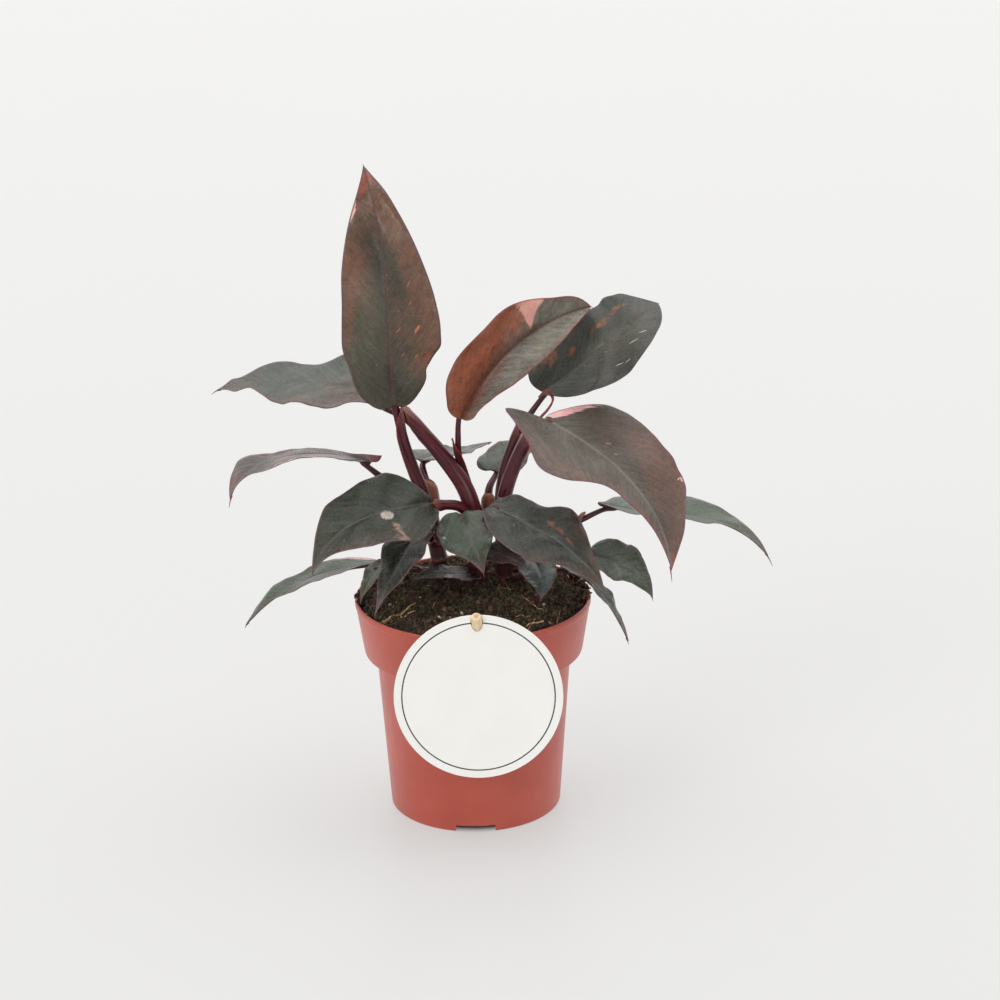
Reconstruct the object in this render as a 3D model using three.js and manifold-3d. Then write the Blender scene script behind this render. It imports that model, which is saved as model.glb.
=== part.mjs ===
// Potted burgundy princess philodendron: a young plant of three short stems with twenty
// heart-shaped leaves, in peat, in a 12 cm plastic pot that carries a round blank card on a stick.
// Millimetres, +Z up, origin in the middle of the flat underside of the pot. The card faces -Y.

import * as THREE from 'three';
import { mergeVertices } from 'three/addons/utils/BufferGeometryUtils.js';
import Module from 'manifold-3d';

const wasm = await Module();
wasm.setup();

// Driving dimensions

const GAP = 0.35; // clearance between neighbouring pieces
const BLADE_THICK = 0.8;

const POT = {
  height: 112,
  rimRadius: 60,
  rimLip: 3, // height of the straight edge at the top
  lipBevel: 0.5,
  baseRadius: 43.7,
  wall: 1.6,
  floor: 2,
  bevel: 1.5, // at the foot
  collarHeight: 28, // the wide band under the rim
  collarRadius: 55.6, // of that band at its lower edge
  collarBevel: 1,
  neckRadius: 49.5, // of the wall just under the band
  neckHeight: 1.5, // of the flare from that wall to the band
  segments: 48,
  notches: 3, // drainage notches round the foot
  notchWidth: 20,
  notchHeight: 3.5,
  notchDepth: 13,
  drainRadius: 3.5,
  drainSides: 12,
};

const SOIL = {
  bottom: 6.5,
  edge: 107.5, // height at the pot wall
  crown: 118, // height in the middle
  bump: 1.3, // of the crumbly surface
  play: 0.55, // between it and the pot wall
  inset: 0.3, // of its upper edge from there
  segments: 40,
  rings: 6,
};

const CARD = { radius: 41.7, thick: 0.8, tilt: 6.3, centre: [2.6, -64.2, 83.4], segments: 64 };

const STICK = {
  radius: 2.65,
  length: 60,
  ahead: 5, // of its end beyond the point it passes through
  through: [2.3, -60, 121],
  axis: [-0.05, -0.5, 0.87],
  sides: 14,
};

// The three stems, each a short jointed axis set in the soil: its path and its two end radii
const STEMS = {
  left: { path: [[-17, 6, 98], [-18, 6, 120], [-20, 5, 140], [-21, 3, 156]], radius: [5, 4] },
  middle: { path: [[2, 2, 98], [2, 0, 120], [3, -3, 140], [3, -5, 155]], radius: [5, 4.4] },
  right: { path: [[18, 6, 98], [17, 5, 120], [16, 2, 140], [15, 0, 157]], radius: [5, 4] },
};

// Half-widths of a plain heart-shaped half-blade as shares of the widest
const HEART = [0.5, 0.85, 0.97, 1, 0.93, 0.8, 0.6, 0.33];

const heart = (widest) => HEART.map((share) => share * widest);

// Each leaf. mid: four points of the midrib at even steps, from the base to the tip. face: which way
// the upper side looks, from the base to the tip. The pairs are for the left and the right half, seen
// from the upper side with the tip away. widths: the half's width from the base on, at places that
// lie closer together near the base. blunt: how round it is at the tip. lobe and rise: how far its
// lobe reaches behind the base, and how far the lobe turns up. fold: how steeply the half rises from
// the midrib, in degrees. wave: height of the wavy margin. stalk: from says which stem carries it,
// and at what height, via is where it passes, radius is at its foot, at the end of its sheath and at
// the blade, and sheath is where the sheath ends as a share of its length. Stalks make room for those
// of the leaves listed before them.
const LEAVES = {
  tall: {
    mid: [[-37, -8, 216], [-39, -14, 255], [-41, -10, 294], [-50, 8, 334]],
    face: [[0.1, -1, 0.1], [0.05, -1, 0], [0, -1, 0.3]],
    widths: [[5, 12, 17.7, 20.3, 22.7, 22, 20.5, 14], [4, 10.7, 16.6, 20.3, 25.6, 24, 18.7, 11]],
    lobe: [1, 1], fold: [6, 10], wave: 1,
    stalk: {
      from: 'left', height: 153, via: [[-24, 3, 166], [-28, 2, 177], [-33, -2, 194.5]],
      radius: [3.4, 2.4, 2], sheath: 0.9,
    },
  },
  left_high: {
    mid: [[-43, 12, 212], [-67, 18, 219], [-96, 23, 220], [-128, 26, 215]],
    face: [[0, -0.25, 1], [0, -0.22, 1], [-0.3, -0.3, 1]],
    widths: [[4, 6, 8.8, 12, 21, 23.3, 20, 6], [10, 15, 20, 24, 25, 16, 16, 10]],
    lobe: [1, 5], fold: [0, 8], wave: 1.5,
    stalk: {
      from: 'middle', height: 152,
      via: [[-3, -3, 171], [-12.5, 0, 185], [-24, 4, 198], [-33.5, 8, 206]],
      radius: [4.4, 3.2, 1.6], sheath: 0.82,
    },
  },
  right_big: {
    mid: [[37, -12, 210], [65, -28, 196], [87, -42, 175], [98, -50, 143]],
    face: [[0.2, -0.6, 0.8], [0.4, -0.6, 0.75], [0.8, -0.6, 0.3]],
    widths: [[1, 8.5, 18, 27, 30.5, 28, 28, 17.5], [6.5, 10.5, 18, 29, 27.3, 13.5, 10, 5.3]],
    lobe: [0, 19], fold: [4, 2], wave: 1.2,
    stalk: {
      from: 'right', height: 154, via: [[17, -6, 169], [21, -7, 182], [27, -8, 195]],
      radius: [3.6, 3.2, 1.6], sheath: 0.8,
    },
  },
  left_mid: {
    mid: [[-50, -2, 185], [-72, -10, 192], [-101, -20, 192], [-119, -26, 174.5]],
    face: [[0, 0.22, 1], [0, 0.2, 1], [-0.9, -0.45, 0.45]],
    widths: [[2, 8, 14, 17, 16, 16, 15, 5], [5, 8, 12, 15, 16, 17, 13, 14]],
    lobe: [0, 9], rise: [0, 8], fold: [1, 3], wave: 0.6,
    stalk: {
      from: 'left', height: 147, via: [[-30, 2, 161], [-40, 2, 171]],
      radius: [2.6, 1.8, 1.4], sheath: 0.6,
    },
  },
  left_front: {
    mid: [[-21, -16, 168], [-40, -32, 170], [-62, -46, 165], [-78, -52, 145]],
    face: [[0, -0.7, 0.75], [-0.1, -0.45, 0.9], [-0.6, -0.5, 0.6]],
    widths: [[5.4, 9.7, 14.3, 20.3, 25.4, 24.4, 19.2, 9.1], [2, 7.8, 16.6, 21.6, 20.6, 20.2, 18.3, 9.4]],
    lobe: [2, 3], fold: [4, 8], wave: 1,
    stalk: {
      from: 'middle', height: 151, via: [[-6, -8, 162.9]],
      radius: [2.8, 2.2, 1.5], sheath: 0.8,
    },
  },
  low_left: {
    mid: [[-23, -16, 153], [-34, -30, 147], [-41, -42, 136], [-48, -50, 122]],
    face: [[-0.4, -0.6, 0.7], [-0.5, -0.7, 0.6], [-0.6, -0.6, 0.5]],
    widths: [[3, 6, 8.5, 10.3, 13.2, 12.6, 8.2, 2.4], [4, 7, 9, 10.5, 11.5, 9, 6.6, 3.6]],
    lobe: [3, 3], fold: [8, 8], wave: 1, small: true,
    stalk: {
      from: 'left', height: 137, via: [[-22, -9, 147]],
      radius: [2, 1.5, 1.2], sheath: 0.5,
    },
  },
  low_left_back: {
    mid: [[-44, -6, 131], [-49, -12, 130], [-53, -20, 126], [-56, -26, 120]],
    face: [[-0.4, -0.6, 0.7], [-0.5, -0.7, 0.6], [-0.6, -0.6, 0.5]],
    widths: [heart(7), heart(6)], lobe: [2, 2], fold: [6, 6], wave: 0.5, small: true,
    stalk: {
      from: 'left', height: 121, via: [[-32, -2, 127]],
      radius: [1.6, 1.2, 1], sheath: 0.4,
    },
  },
  left_low: {
    mid: [[-48, 6, 128], [-70, 2, 126], [-93.4, -6, 119.5], [-115, -14, 103]],
    face: [[0, 0.1, 1], [0, 0.1, 1], [-0.4, 0, 1]],
    widths: [[1, 2, 2.6, 4, 8.1, 12.5, 9.5, 1], [1, 3, 11.5, 12.9, 12.9, 12.5, 11, 8.1]],
    lobe: [3, 3], fold: [4, 6], wave: 0.7,
    stalk: {
      from: 'left', height: 121, via: [[-32, 6, 125]],
      radius: [2, 1.5, 1.2], sheath: 0.5,
    },
  },
  center: {
    mid: [[-5, -16, 161.8], [-2, -26, 155.5], [2, -34, 148.5], [6, -38, 137.5]],
    face: [[0, -0.6, 0.8], [0.05, -0.75, 0.65], [0.1, -0.9, 0.4]],
    widths: [[6, 9, 11.5, 12.5, 12.6, 11.9, 9.3, 3.9], [5.6, 9.3, 12.3, 14.7, 14.8, 14, 9.3, 4]],
    lobe: [1, 1], fold: [4, 4], wave: 0.8,
    stalk: {
      from: 'middle', height: 143, via: [[-2, -9, 152.5]],
      radius: [2.2, 1.6, 1.3], sheath: 0.5,
    },
  },
  right_front: {
    mid: [[10, -17, 167.3], [29, -30, 160.3], [49, -41, 150.3], [65, -49, 133.3]],
    face: [[0.1, -0.5, 0.85], [0.2, -0.5, 0.85], [0.5, -0.5, 0.7]],
    widths: [[5.3, 5.7, 10.5, 12.4, 13.7, 18.2, 15, 6.1], [6.2, 8.8, 12.8, 16.8, 20, 19.4, 13.8, 7.8]],
    lobe: [0, 0], fold: [14, 0], wave: 1.2,
    stalk: {
      from: 'right', height: 148, via: [[12, -11, 158.5]],
      radius: [2.4, 1.8, 1.4], sheath: 0.5,
    },
  },
  red: {
    mid: [[-4, -6, 208], [10, -4, 231], [32, 0, 251], [61, 12, 260]],
    face: [[0.43, -0.75, 0], [0.35, -0.75, 0.1], [0.2, -0.7, 0.5]],
    widths: [[3.5, 12.3, 18.3, 24, 25, 24, 21.5, 11], [1.5, 5, 6.3, 8.7, 11.5, 14.8, 15.7, 12.4]],
    blunt: [0.6, 0.6], lobe: [0, 0], fold: [20, 40], wave: 0.8,
    stalk: {
      from: 'middle', height: 143, via: [[1, 4, 158], [-2.5, 5, 172], [-5.5, 2, 185], [-6, -2, 196]],
      radius: [2.6, 1.9, 1.4], sheath: 0.78,
    },
  },
  dark_right: {
    mid: [[36, 6, 218], [55, 2, 233], [75, 2, 250], [94, 14, 261]],
    face: [[-0.4, -0.6, 0.7], [-0.45, -0.5, 0.7], [-0.3, -0.3, 0.9]],
    widths: [[9.5, 17, 21, 23, 24, 22.7, 21.5, 24], [2, 4, 8.4, 13.6, 19.8, 26, 29.8, 16]],
    blunt: [1.6, 0.5], lobe: [4, 0], fold: [6, 6], wave: 1,
    stalk: {
      from: 'right', height: 148, via: [[14.5, 5, 162], [15.5, 3, 172], [19, 3, 186], [25, 4, 199]],
      radius: [2.8, 2.1, 1.4], sheath: 0.72,
    },
  },
  right_far: {
    mid: [[68, 6, 158], [98, 12, 151.5], [127, 16, 144.2], [151, 10, 127.5]],
    face: [[0, 0.1, 1], [0.1, 0, 1], [0.5, -0.1, 1]],
    widths: [[1, 4, 13, 18.5, 19.5, 19.3, 19, 9], [1, 4, 8.5, 11, 12, 11, 5.5, 2]],
    lobe: [4, 4], fold: [6, 4], wave: 0.8,
    stalk: {
      from: 'right', height: 136, via: [[42, 0, 145], [55, 2, 151]],
      radius: [2.4, 1.8, 1.3], sheath: 0.75,
    },
  },
  right_low: {
    mid: [[60, -8, 136], [71, -16, 136], [82, -24, 133], [90, -30, 121]],
    face: [[0, -0.4, 0.9], [0.1, -0.4, 0.9], [0.5, -0.5, 0.6]],
    widths: [[6, 10, 12.4, 14, 13.6, 11.9, 8.1, 4], [5, 8, 9, 10, 11.2, 13.2, 12.7, 7.5]],
    lobe: [3, 3], fold: [6, 4], wave: 0.8, small: true,
    stalk: {
      from: 'right', height: 123, via: [[40, -1, 131]],
      radius: [2, 1.5, 1.2], sheath: 0.5,
    },
  },
  rim_right: {
    mid: [[46, -24, 137], [58, -36, 132], [68, -46, 122], [77, -52, 107]],
    face: [[0.5, -0.1, 0.8], [0.7, -0.15, 0.6], [0.85, -0.1, 0.4]],
    widths: [heart(10), heart(8)], lobe: [2, 0], fold: [6, 6], wave: 0.8, small: true,
    stalk: {
      from: 'right', height: 117, via: [[32, -12, 128]],
      radius: [1.8, 1.3, 1.1], sheath: 0.5,
    },
  },
  soil_right: {
    mid: [[31, -18, 137.4], [34, -28, 134.4], [35, -35, 130.4], [34, -40, 125.4]],
    face: [[0, -0.6, 0.8], [0, -0.7, 0.7], [0, -0.8, 0.6]],
    widths: [heart(9), heart(10)], lobe: [3, 3], fold: [6, 6], wave: 0.5, small: true,
    stalk: {
      from: 'right', height: 130, via: [[23, -8, 134.5]],
      radius: [1.8, 1.3, 1.1], sheath: 0.5,
    },
  },
  back_left: {
    mid: [[-25, 22, 178], [-14, 33, 177], [-2, 46, 175], [10, 58, 175]],
    face: [[0, 0.1, 1], [0, 0.1, 1], [0, 0.2, 1]],
    widths: [heart(12), heart(12)], lobe: [3, 3], fold: [8, 8], wave: 0.8, small: true,
    stalk: {
      from: 'left', height: 150, via: [[-21, 9, 163], [-24, 16, 172]],
      radius: [3.2, 2.6, 1.3], sheath: 0.6,
    },
  },
  back_right: {
    mid: [[12, 18, 173], [17, 28, 178], [25, 40, 180], [35, 54, 180]],
    face: [[-0.3, -0.5, 0.8], [-0.3, -0.5, 0.8], [-0.3, -0.4, 0.9]],
    widths: [heart(11), heart(16)], lobe: [1, 3], fold: [6, 6], wave: 0.8, small: true,
    stalk: {
      from: 'right', height: 141, via: [[9, 9, 157], [9, 12, 165]],
      radius: [3, 2.4, 1.2], sheath: 0.6,
    },
  },
  soil_left: {
    mid: [[-1, -8, 127], [-10, -16, 130], [-20, -24, 133], [-30, -30, 132]],
    face: [[0, -0.2, 1], [0, -0.2, 1], [0, -0.2, 1]],
    widths: [heart(9), heart(9)], lobe: [2, 2], fold: [4, 4], wave: 0.5, small: true,
    stalk: {
      from: 'middle', height: 120, via: [[1, -4, 124]],
      radius: [1.4, 1.1, 1], sheath: 0.4,
    },
  },
  soil_middle: {
    mid: [[8, -12, 142], [14, -20, 142], [21, -28, 142], [27, -34, 140]],
    face: [[0, -0.4, 0.9], [0, -0.4, 0.9], [0, -0.4, 0.9]],
    widths: [heart(9), heart(9)], lobe: [2, 2], fold: [4, 4], wave: 0.5, small: true,
    stalk: {
      from: 'middle', height: 132, via: [[5, -7, 138]],
      radius: [1.4, 1.1, 1], sheath: 0.4,
    },
  },
};

// A dried scrap of leaf sheath that curls over between the two high leaves on the right
const CURL = {
  path: [[29, -7, 199], [34, -4.5, 207], [39, -5, 213], [41, -6.5, 218], [38, -6.5, 222], [34, -6, 219]],
  radius: [1.2, 0.8],
  sides: 6,
  steps: 12,
};

const LOBE_REACH = 0.4; // share of the midrib along which the lobes' sweep fades out
const WAVES = 2.5; // along one margin
const WAVE_SHIFT = 0.4; // between the two margins
const WAVE_WIDTH = 0.7; // share of its widest below which a half waves less
const WIDTH_CROWDING = 1.6; // of the places where the widths of a blade are given
const ROW_CROWDING = 1.25; // rows of a blade lie closer together near its base
const BLADE_GRID = { rows: 14, columns: 4 };
const SMALL_GRID = { rows: 8, columns: 3 };
const STALK_SIDES = 8;
const STEM_STEPS = 6;
const STALK_STEP = 7; // length of one step of a stalk
const SHEATH_END = 0.1; // share of a stalk in which its sheath thins out

// Colour and roughness
const LOOKS = {
  pot: [0xb4543f, 0.45],
  soil: [0x2b1f18, 1],
  card: [0xf2f2ef, 0.7],
  stick: [0xd9b98c, 0.7],
  stem: [0x5a2a2c, 0.5],
  stalk: [0x5e1f2b, 0.4],
  blade: [0x4a4f46, 0.4],
  red: [0x8a4a35, 0.4],
  dry: [0x7a4a3a, 0.7],
};

// Solids

function material([color, roughness]) {
  return new THREE.MeshStandardMaterial({ color, roughness, metalness: 0 });
}

function geometryFrom(positions, index) {
  const geometry = new THREE.BufferGeometry();
  geometry.setAttribute('position', new THREE.Float32BufferAttribute(positions, 3));
  geometry.setIndex(index);
  return geometry;
}

function toSolid(geometry) {
  const bare = geometry.clone();
  bare.deleteAttribute('normal');
  bare.deleteAttribute('uv');
  const merged = mergeVertices(bare, 1e-4);
  const mesh = new wasm.Mesh({
    numProp: 3,
    vertProperties: new Float32Array(merged.attributes.position.array),
    triVerts: new Uint32Array(merged.index.array),
  });
  return new wasm.Manifold(mesh);
}

function toGeometry(solid) {
  const mesh = solid.getMesh();
  return geometryFrom(Array.from(mesh.vertProperties), Array.from(mesh.triVerts));
}

function largestPiece(solid) {
  const pieces = solid.decompose();
  return pieces.sort((a, b) => b.volume() - a.volume())[0];
}

function vector(point) {
  return new THREE.Vector3(...point);
}

// Turned profile of radius and height pairs that starts and ends on the axis
function turned(profile, segments) {
  const points = profile.map(([radius, height]) => new THREE.Vector2(radius, height));
  const geometry = new THREE.LatheGeometry(points, segments);
  geometry.rotateX(Math.PI / 2);
  return geometry;
}

// Closed tube along a path, with its own radius at each share of the length. A tube that cuts a
// clearance is thicker and longer by extra.
function tube(path, radiusAt, sides, steps, extra = 0) {
  const curve = new THREE.CatmullRomCurve3(path.map(vector));
  const frames = curve.computeFrenetFrames(steps, false);
  const positions = [];
  const index = [];
  for (let i = 0; i <= steps; i++) {
    const end = Number(i === steps) - Number(i === 0);
    const centre = curve.getPointAt(i / steps).addScaledVector(frames.tangents[i], end * extra);
    const radius = radiusAt(i / steps) + extra;
    for (let j = 0; j < sides; j++) {
      const angle = (2 * Math.PI * j) / sides;
      const point = centre.clone()
        .addScaledVector(frames.normals[i], radius * Math.cos(angle))
        .addScaledVector(frames.binormals[i], radius * Math.sin(angle));
      positions.push(point.x, point.y, point.z);
    }
  }
  for (let i = 0; i < steps; i++) {
    for (let j = 0; j < sides; j++) {
      const a = i * sides + j;
      const b = i * sides + ((j + 1) % sides);
      index.push(a, b, b + sides, a, b + sides, a + sides);
    }
  }
  for (let j = 1; j < sides - 1; j++) {
    const last = steps * sides;
    index.push(0, j + 1, j, last, last + j, last + j + 1);
  }
  return toSolid(geometryFrom(positions, index));
}

// Leaf blades

// Point at t of the cubic through four points at even steps
function through(points, t) {
  const [a, b, c, d] = points.map(vector);
  const knots = [0, 1 / 3, 2 / 3, 1];
  const lagrange = (i) => knots
    .filter((knot, k) => k !== i)
    .reduce((product, knot) => (product * (t - knot)) / (knots[i] - knot), 1);
  return a.multiplyScalar(lagrange(0))
    .addScaledVector(b, lagrange(1))
    .addScaledVector(c, lagrange(2))
    .addScaledVector(d, lagrange(3));
}

function bladeFrame(leaf, t) {
  const step = 1e-4;
  const tangent = through(leaf.mid, t + step).sub(through(leaf.mid, t - step)).normalize();
  const place = Math.min(t * (leaf.face.length - 1), leaf.face.length - 1 - 1e-9);
  const k = Math.floor(place);
  const normal = vector(leaf.face[k]).lerp(vector(leaf.face[k + 1]), place - k);
  normal.addScaledVector(tangent, -normal.dot(tangent)).normalize();
  return { tangent, normal, right: tangent.clone().cross(normal) };
}

// Width of a half-blade at t: a smooth line through its widths, down to nothing at the tip
function halfWidth(leaf, side, t) {
  const widths = leaf.widths[side];
  const last = widths.length - 1;
  const blunt = leaf.blunt?.[side] ?? 0;
  const knots = [2 * widths[0] - widths[1], ...widths, 0, -widths[last] * (1 + 2 * blunt)];
  const place = Math.min(t ** (1 / WIDTH_CROWDING) * (last + 1), last + 1 - 1e-9);
  const k = Math.floor(place);
  const u = place - k;
  const [a, b, c, d] = knots.slice(k, k + 4);
  const smooth = b + (u / 2) * (c - a + u * (2 * a - 5 * b + 4 * c - d + u * (3 * (b - c) + d - a)));
  return Math.max(0, smooth);
}

// Point of the upper side at t along the midrib and s across, from -1 at the left to 1 at the right
function bladePoint(leaf, t, s) {
  const { tangent, normal, right } = bladeFrame(leaf, t);
  const side = s < 0 ? 0 : 1;
  const across = Math.abs(s);
  const widest = halfWidth(leaf, side, t);
  const share = widest / Math.max(...leaf.widths[side]);
  const angle = THREE.MathUtils.degToRad(leaf.fold[side]);
  const base = Math.max(0, 1 - t / LOBE_REACH) ** 2;
  const sweep = leaf.lobe[side] * base * (1 - (1 - across) ** 2);
  const rise = (leaf.rise?.[side] ?? 0) * base * across ** 2;
  const phase = 2 * Math.PI * (WAVES * t + WAVE_SHIFT * side);
  const wave = leaf.wave * across ** 2 * Math.sin(phase) * Math.min(1, share / WAVE_WIDTH);
  return through(leaf.mid, t)
    .addScaledVector(right, Math.sign(s) * widest * across * Math.cos(angle))
    .addScaledVector(normal, widest * across * Math.sin(angle) + wave + rise)
    .addScaledVector(tangent, -sweep);
}

function blade(leaf) {
  const { rows, columns } = leaf.small ? SMALL_GRID : BLADE_GRID;
  const across = 2 * columns + 1;
  const at = (i, j) => bladePoint(leaf, (i / rows) ** ROW_CROWDING, j / columns - 1);
  const upper = [];
  const lower = [];
  for (let i = 0; i < rows; i++) {
    for (let j = 0; j < across; j++) {
      const along = at(Math.min(i + 1, rows - 1), j).sub(at(Math.max(i - 1, 0), j));
      const sideways = at(i, Math.min(j + 1, across - 1)).sub(at(i, Math.max(j - 1, 0)));
      const normal = sideways.cross(along).normalize();
      upper.push(at(i, j));
      lower.push(at(i, j).addScaledVector(normal, -BLADE_THICK));
    }
  }
  const tip = through(leaf.mid, 1);
  upper.push(tip);
  lower.push(tip.clone().addScaledVector(bladeFrame(leaf, 1).normal, -BLADE_THICK));
  const under = upper.length;
  const number = (i, j) => (i === rows ? rows * across : i * across + j);
  const index = [];
  const face = (a, b, c) => {
    index.push(a, b, c, under + a, under + c, under + b);
  };
  for (let i = 0; i < rows; i++) {
    for (let j = 0; j < across - 1; j++) {
      face(number(i, j), number(i, j + 1), number(i + 1, j + 1));
      if (i < rows - 1) {
        face(number(i, j), number(i + 1, j + 1), number(i + 1, j));
      }
    }
  }
  const border = [];
  for (let j = 0; j < across; j++) {
    border.push(number(0, j));
  }
  for (let i = 1; i <= rows; i++) {
    border.push(number(i, across - 1));
  }
  for (let i = rows - 1; i > 0; i--) {
    border.push(number(i, 0));
  }
  border.forEach((a, k) => {
    const b = border[(k + 1) % border.length];
    index.push(b, a, under + a, b, under + a, under + b);
  });
  return geometryFrom([...upper, ...lower].flatMap((point) => point.toArray()), index);
}

// Stems and leaf stalks

function stemTube(stem, extra = 0) {
  const [foot, top] = stem.radius;
  return tube(stem.path, (u) => foot + (top - foot) * u, STALK_SIDES, STEM_STEPS, extra);
}

// Where a stem's axis is at a height
function stemPoint(stem, height) {
  const above = stem.path.findIndex((point) => point[2] >= height);
  const low = vector(stem.path[above - 1]);
  const high = vector(stem.path[above]);
  return low.lerp(high, (height - low.z) / (high.z - low.z)).toArray();
}

// Runs from the axis of its stem to just under the base of its blade
function stalkPath(leaf) {
  const { stalk, mid } = leaf;
  const stem = STEMS[stalk.from];
  const start = stemPoint(stem, stalk.height);
  const { tangent, normal } = bladeFrame(leaf, 0);
  const arrival = vector(mid[0]).sub(vector(stalk.via[stalk.via.length - 1])).normalize();
  const tilt = Math.sqrt(Math.max(0, 1 - arrival.dot(normal) ** 2));
  const end = vector(mid[0])
    .addScaledVector(tangent, stalk.radius[2] / 2)
    .addScaledVector(normal, -(BLADE_THICK + 2 * GAP + stalk.radius[2] * tilt));
  return [start, ...stalk.via, end.toArray()];
}

function stalkTube(leaf, extra = 0) {
  const path = stalkPath(leaf);
  const [foot, neck, end] = leaf.stalk.radius;
  const { sheath } = leaf.stalk;
  const length = new THREE.CatmullRomCurve3(path.map(vector)).getLength();
  const radiusAt = (u) => {
    if (u < sheath) return foot + ((neck - foot) * u) / sheath;
    return end + (neck - end) * Math.max(0, 1 - (u - sheath) / SHEATH_END);
  };
  return tube(path, radiusAt, STALK_SIDES, Math.max(4, Math.round(length / STALK_STEP)), extra);
}

// Pot

function pot() {
  const shoulder = POT.height - POT.collarHeight;
  const inner = (radius) => radius - POT.wall;
  const bend = shoulder - POT.collarBevel;
  const lip = POT.height - POT.rimLip;
  const outside = [
    [0, 0],
    [POT.baseRadius - POT.bevel, 0],
    [POT.baseRadius, POT.bevel],
    [POT.neckRadius, bend - POT.neckHeight],
    [POT.collarRadius - POT.collarBevel, bend],
    [POT.collarRadius, shoulder + POT.collarBevel],
    [POT.rimRadius - POT.lipBevel, lip - POT.lipBevel],
    [POT.rimRadius, lip],
    [POT.rimRadius, POT.height - POT.lipBevel],
    [POT.rimRadius - POT.lipBevel, POT.height],
    [0, POT.height],
  ];
  const inside = [
    [0, POT.floor],
    [inner(POT.baseRadius), POT.floor],
    [inner(POT.neckRadius), shoulder],
    [inner(POT.collarRadius), shoulder + POT.collarBevel + POT.neckHeight],
    [inner(POT.rimRadius), lip],
    [inner(POT.rimRadius), POT.height + 1],
    [0, POT.height + 1],
  ];
  const body = toSolid(turned(outside, POT.segments));
  // A box at the foot of the wall, at the front before it is turned
  const atFoot = (width, depth, low, high, turn) => {
    const beyond = 10;
    const geometry = new THREE.BoxGeometry(width, depth + beyond, high - low);
    geometry.translate(0, -(POT.baseRadius - depth + (depth + beyond) / 2), (low + high) / 2);
    geometry.rotateZ(turn);
    return toSolid(geometry);
  };
  let shell = body.subtract(toSolid(turned(inside, POT.segments)));
  const turns = Array.from({ length: POT.notches }, (_, k) => (2 * Math.PI * k) / POT.notches);
  for (const turn of turns) {
    const width = POT.notchWidth + 2 * POT.wall;
    const cover = atFoot(width, POT.notchDepth + POT.wall, 0, POT.notchHeight + POT.floor, turn);
    shell = shell.add(cover.intersect(body));
  }
  for (const turn of turns) {
    const notch = atFoot(POT.notchWidth, POT.notchDepth, -1, POT.notchHeight, turn);
    const drain = new THREE.CylinderGeometry(
      POT.drainRadius, POT.drainRadius, POT.baseRadius, POT.drainSides);
    drain.rotateX(Math.PI / 2);
    drain.translate(0, -(POT.baseRadius - POT.notchDepth / 2), 0);
    drain.rotateZ(turn);
    shell = shell.subtract(notch).subtract(toSolid(drain));
  }
  return shell;
}

// Soil: fills the pot to a crumbly mound

function soilHeight(x, y, reach) {
  const share = Math.hypot(x, y) / reach;
  const mound = SOIL.edge + (SOIL.crown - SOIL.edge) * (1 - share ** 2);
  const bumps = Math.sin(0.31 * x + 1.3) * Math.cos(0.27 * y) + Math.sin(0.17 * x - 0.23 * y);
  return mound + (SOIL.bump / 2) * bumps;
}

function soil() {
  const shoulder = POT.height - POT.collarHeight;
  const slope = (POT.rimRadius - POT.collarRadius) / POT.collarHeight;
  const fit = POT.wall + SOIL.play;
  const reach = POT.rimRadius - fit - slope * (POT.height - SOIL.edge) - SOIL.inset;
  const rings = [
    { radius: POT.baseRadius - fit, height: SOIL.bottom },
    { radius: POT.neckRadius - fit, height: shoulder },
    { radius: POT.collarRadius - fit, height: shoulder + POT.collarBevel + POT.neckHeight + 1 },
  ];
  for (let k = 0; k < SOIL.rings; k++) {
    rings.push({ radius: reach * (1 - k / SOIL.rings) });
  }
  const positions = [0, 0, SOIL.bottom];
  for (const { radius, height } of rings) {
    for (let j = 0; j < SOIL.segments; j++) {
      const angle = (2 * Math.PI * j) / SOIL.segments;
      const x = radius * Math.cos(angle);
      const y = radius * Math.sin(angle);
      positions.push(x, y, height ?? soilHeight(x, y, reach));
    }
  }
  positions.push(0, 0, soilHeight(0, 0, reach));
  const top = positions.length / 3 - 1;
  const index = [];
  for (let j = 0; j < SOIL.segments; j++) {
    const next = (j + 1) % SOIL.segments;
    index.push(0, 1 + next, 1 + j);
    for (let i = 0; i < rings.length - 1; i++) {
      const a = 1 + i * SOIL.segments;
      const b = a + SOIL.segments;
      index.push(a + j, a + next, b + next, a + j, b + next, b + j);
    }
    const last = 1 + (rings.length - 1) * SOIL.segments;
    index.push(last + j, last + next, top);
  }
  return toSolid(geometryFrom(positions, index));
}

// Card and stick

function stick(extra = 0) {
  const axis = vector(STICK.axis).normalize();
  const radius = STICK.radius + extra;
  const geometry = new THREE.CylinderGeometry(radius, radius, STICK.length + 2 * extra, STICK.sides);
  geometry.applyQuaternion(new THREE.Quaternion().setFromUnitVectors(new THREE.Vector3(0, 1, 0), axis));
  const centre = vector(STICK.through).addScaledVector(axis, STICK.ahead - STICK.length / 2);
  geometry.translate(...centre.toArray());
  return toSolid(geometry);
}

function card() {
  const geometry = new THREE.CylinderGeometry(CARD.radius, CARD.radius, CARD.thick, CARD.segments);
  geometry.rotateX(THREE.MathUtils.degToRad(-CARD.tilt));
  geometry.translate(...CARD.centre);
  return toSolid(geometry).subtract(stick(GAP));
}

// The whole plant

const plant = new THREE.Group();
plant.name = 'potted_philodendron';

function add(name, geometry, look) {
  const mesh = new THREE.Mesh(geometry, material(look));
  mesh.name = name;
  plant.add(mesh);
}

const stems = Object.values(STEMS);
const holes = stems.map((stem) => stemTube(stem, GAP));
const ground = [...holes, stick(GAP)].reduce((rest, hole) => rest.subtract(hole), soil());

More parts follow.
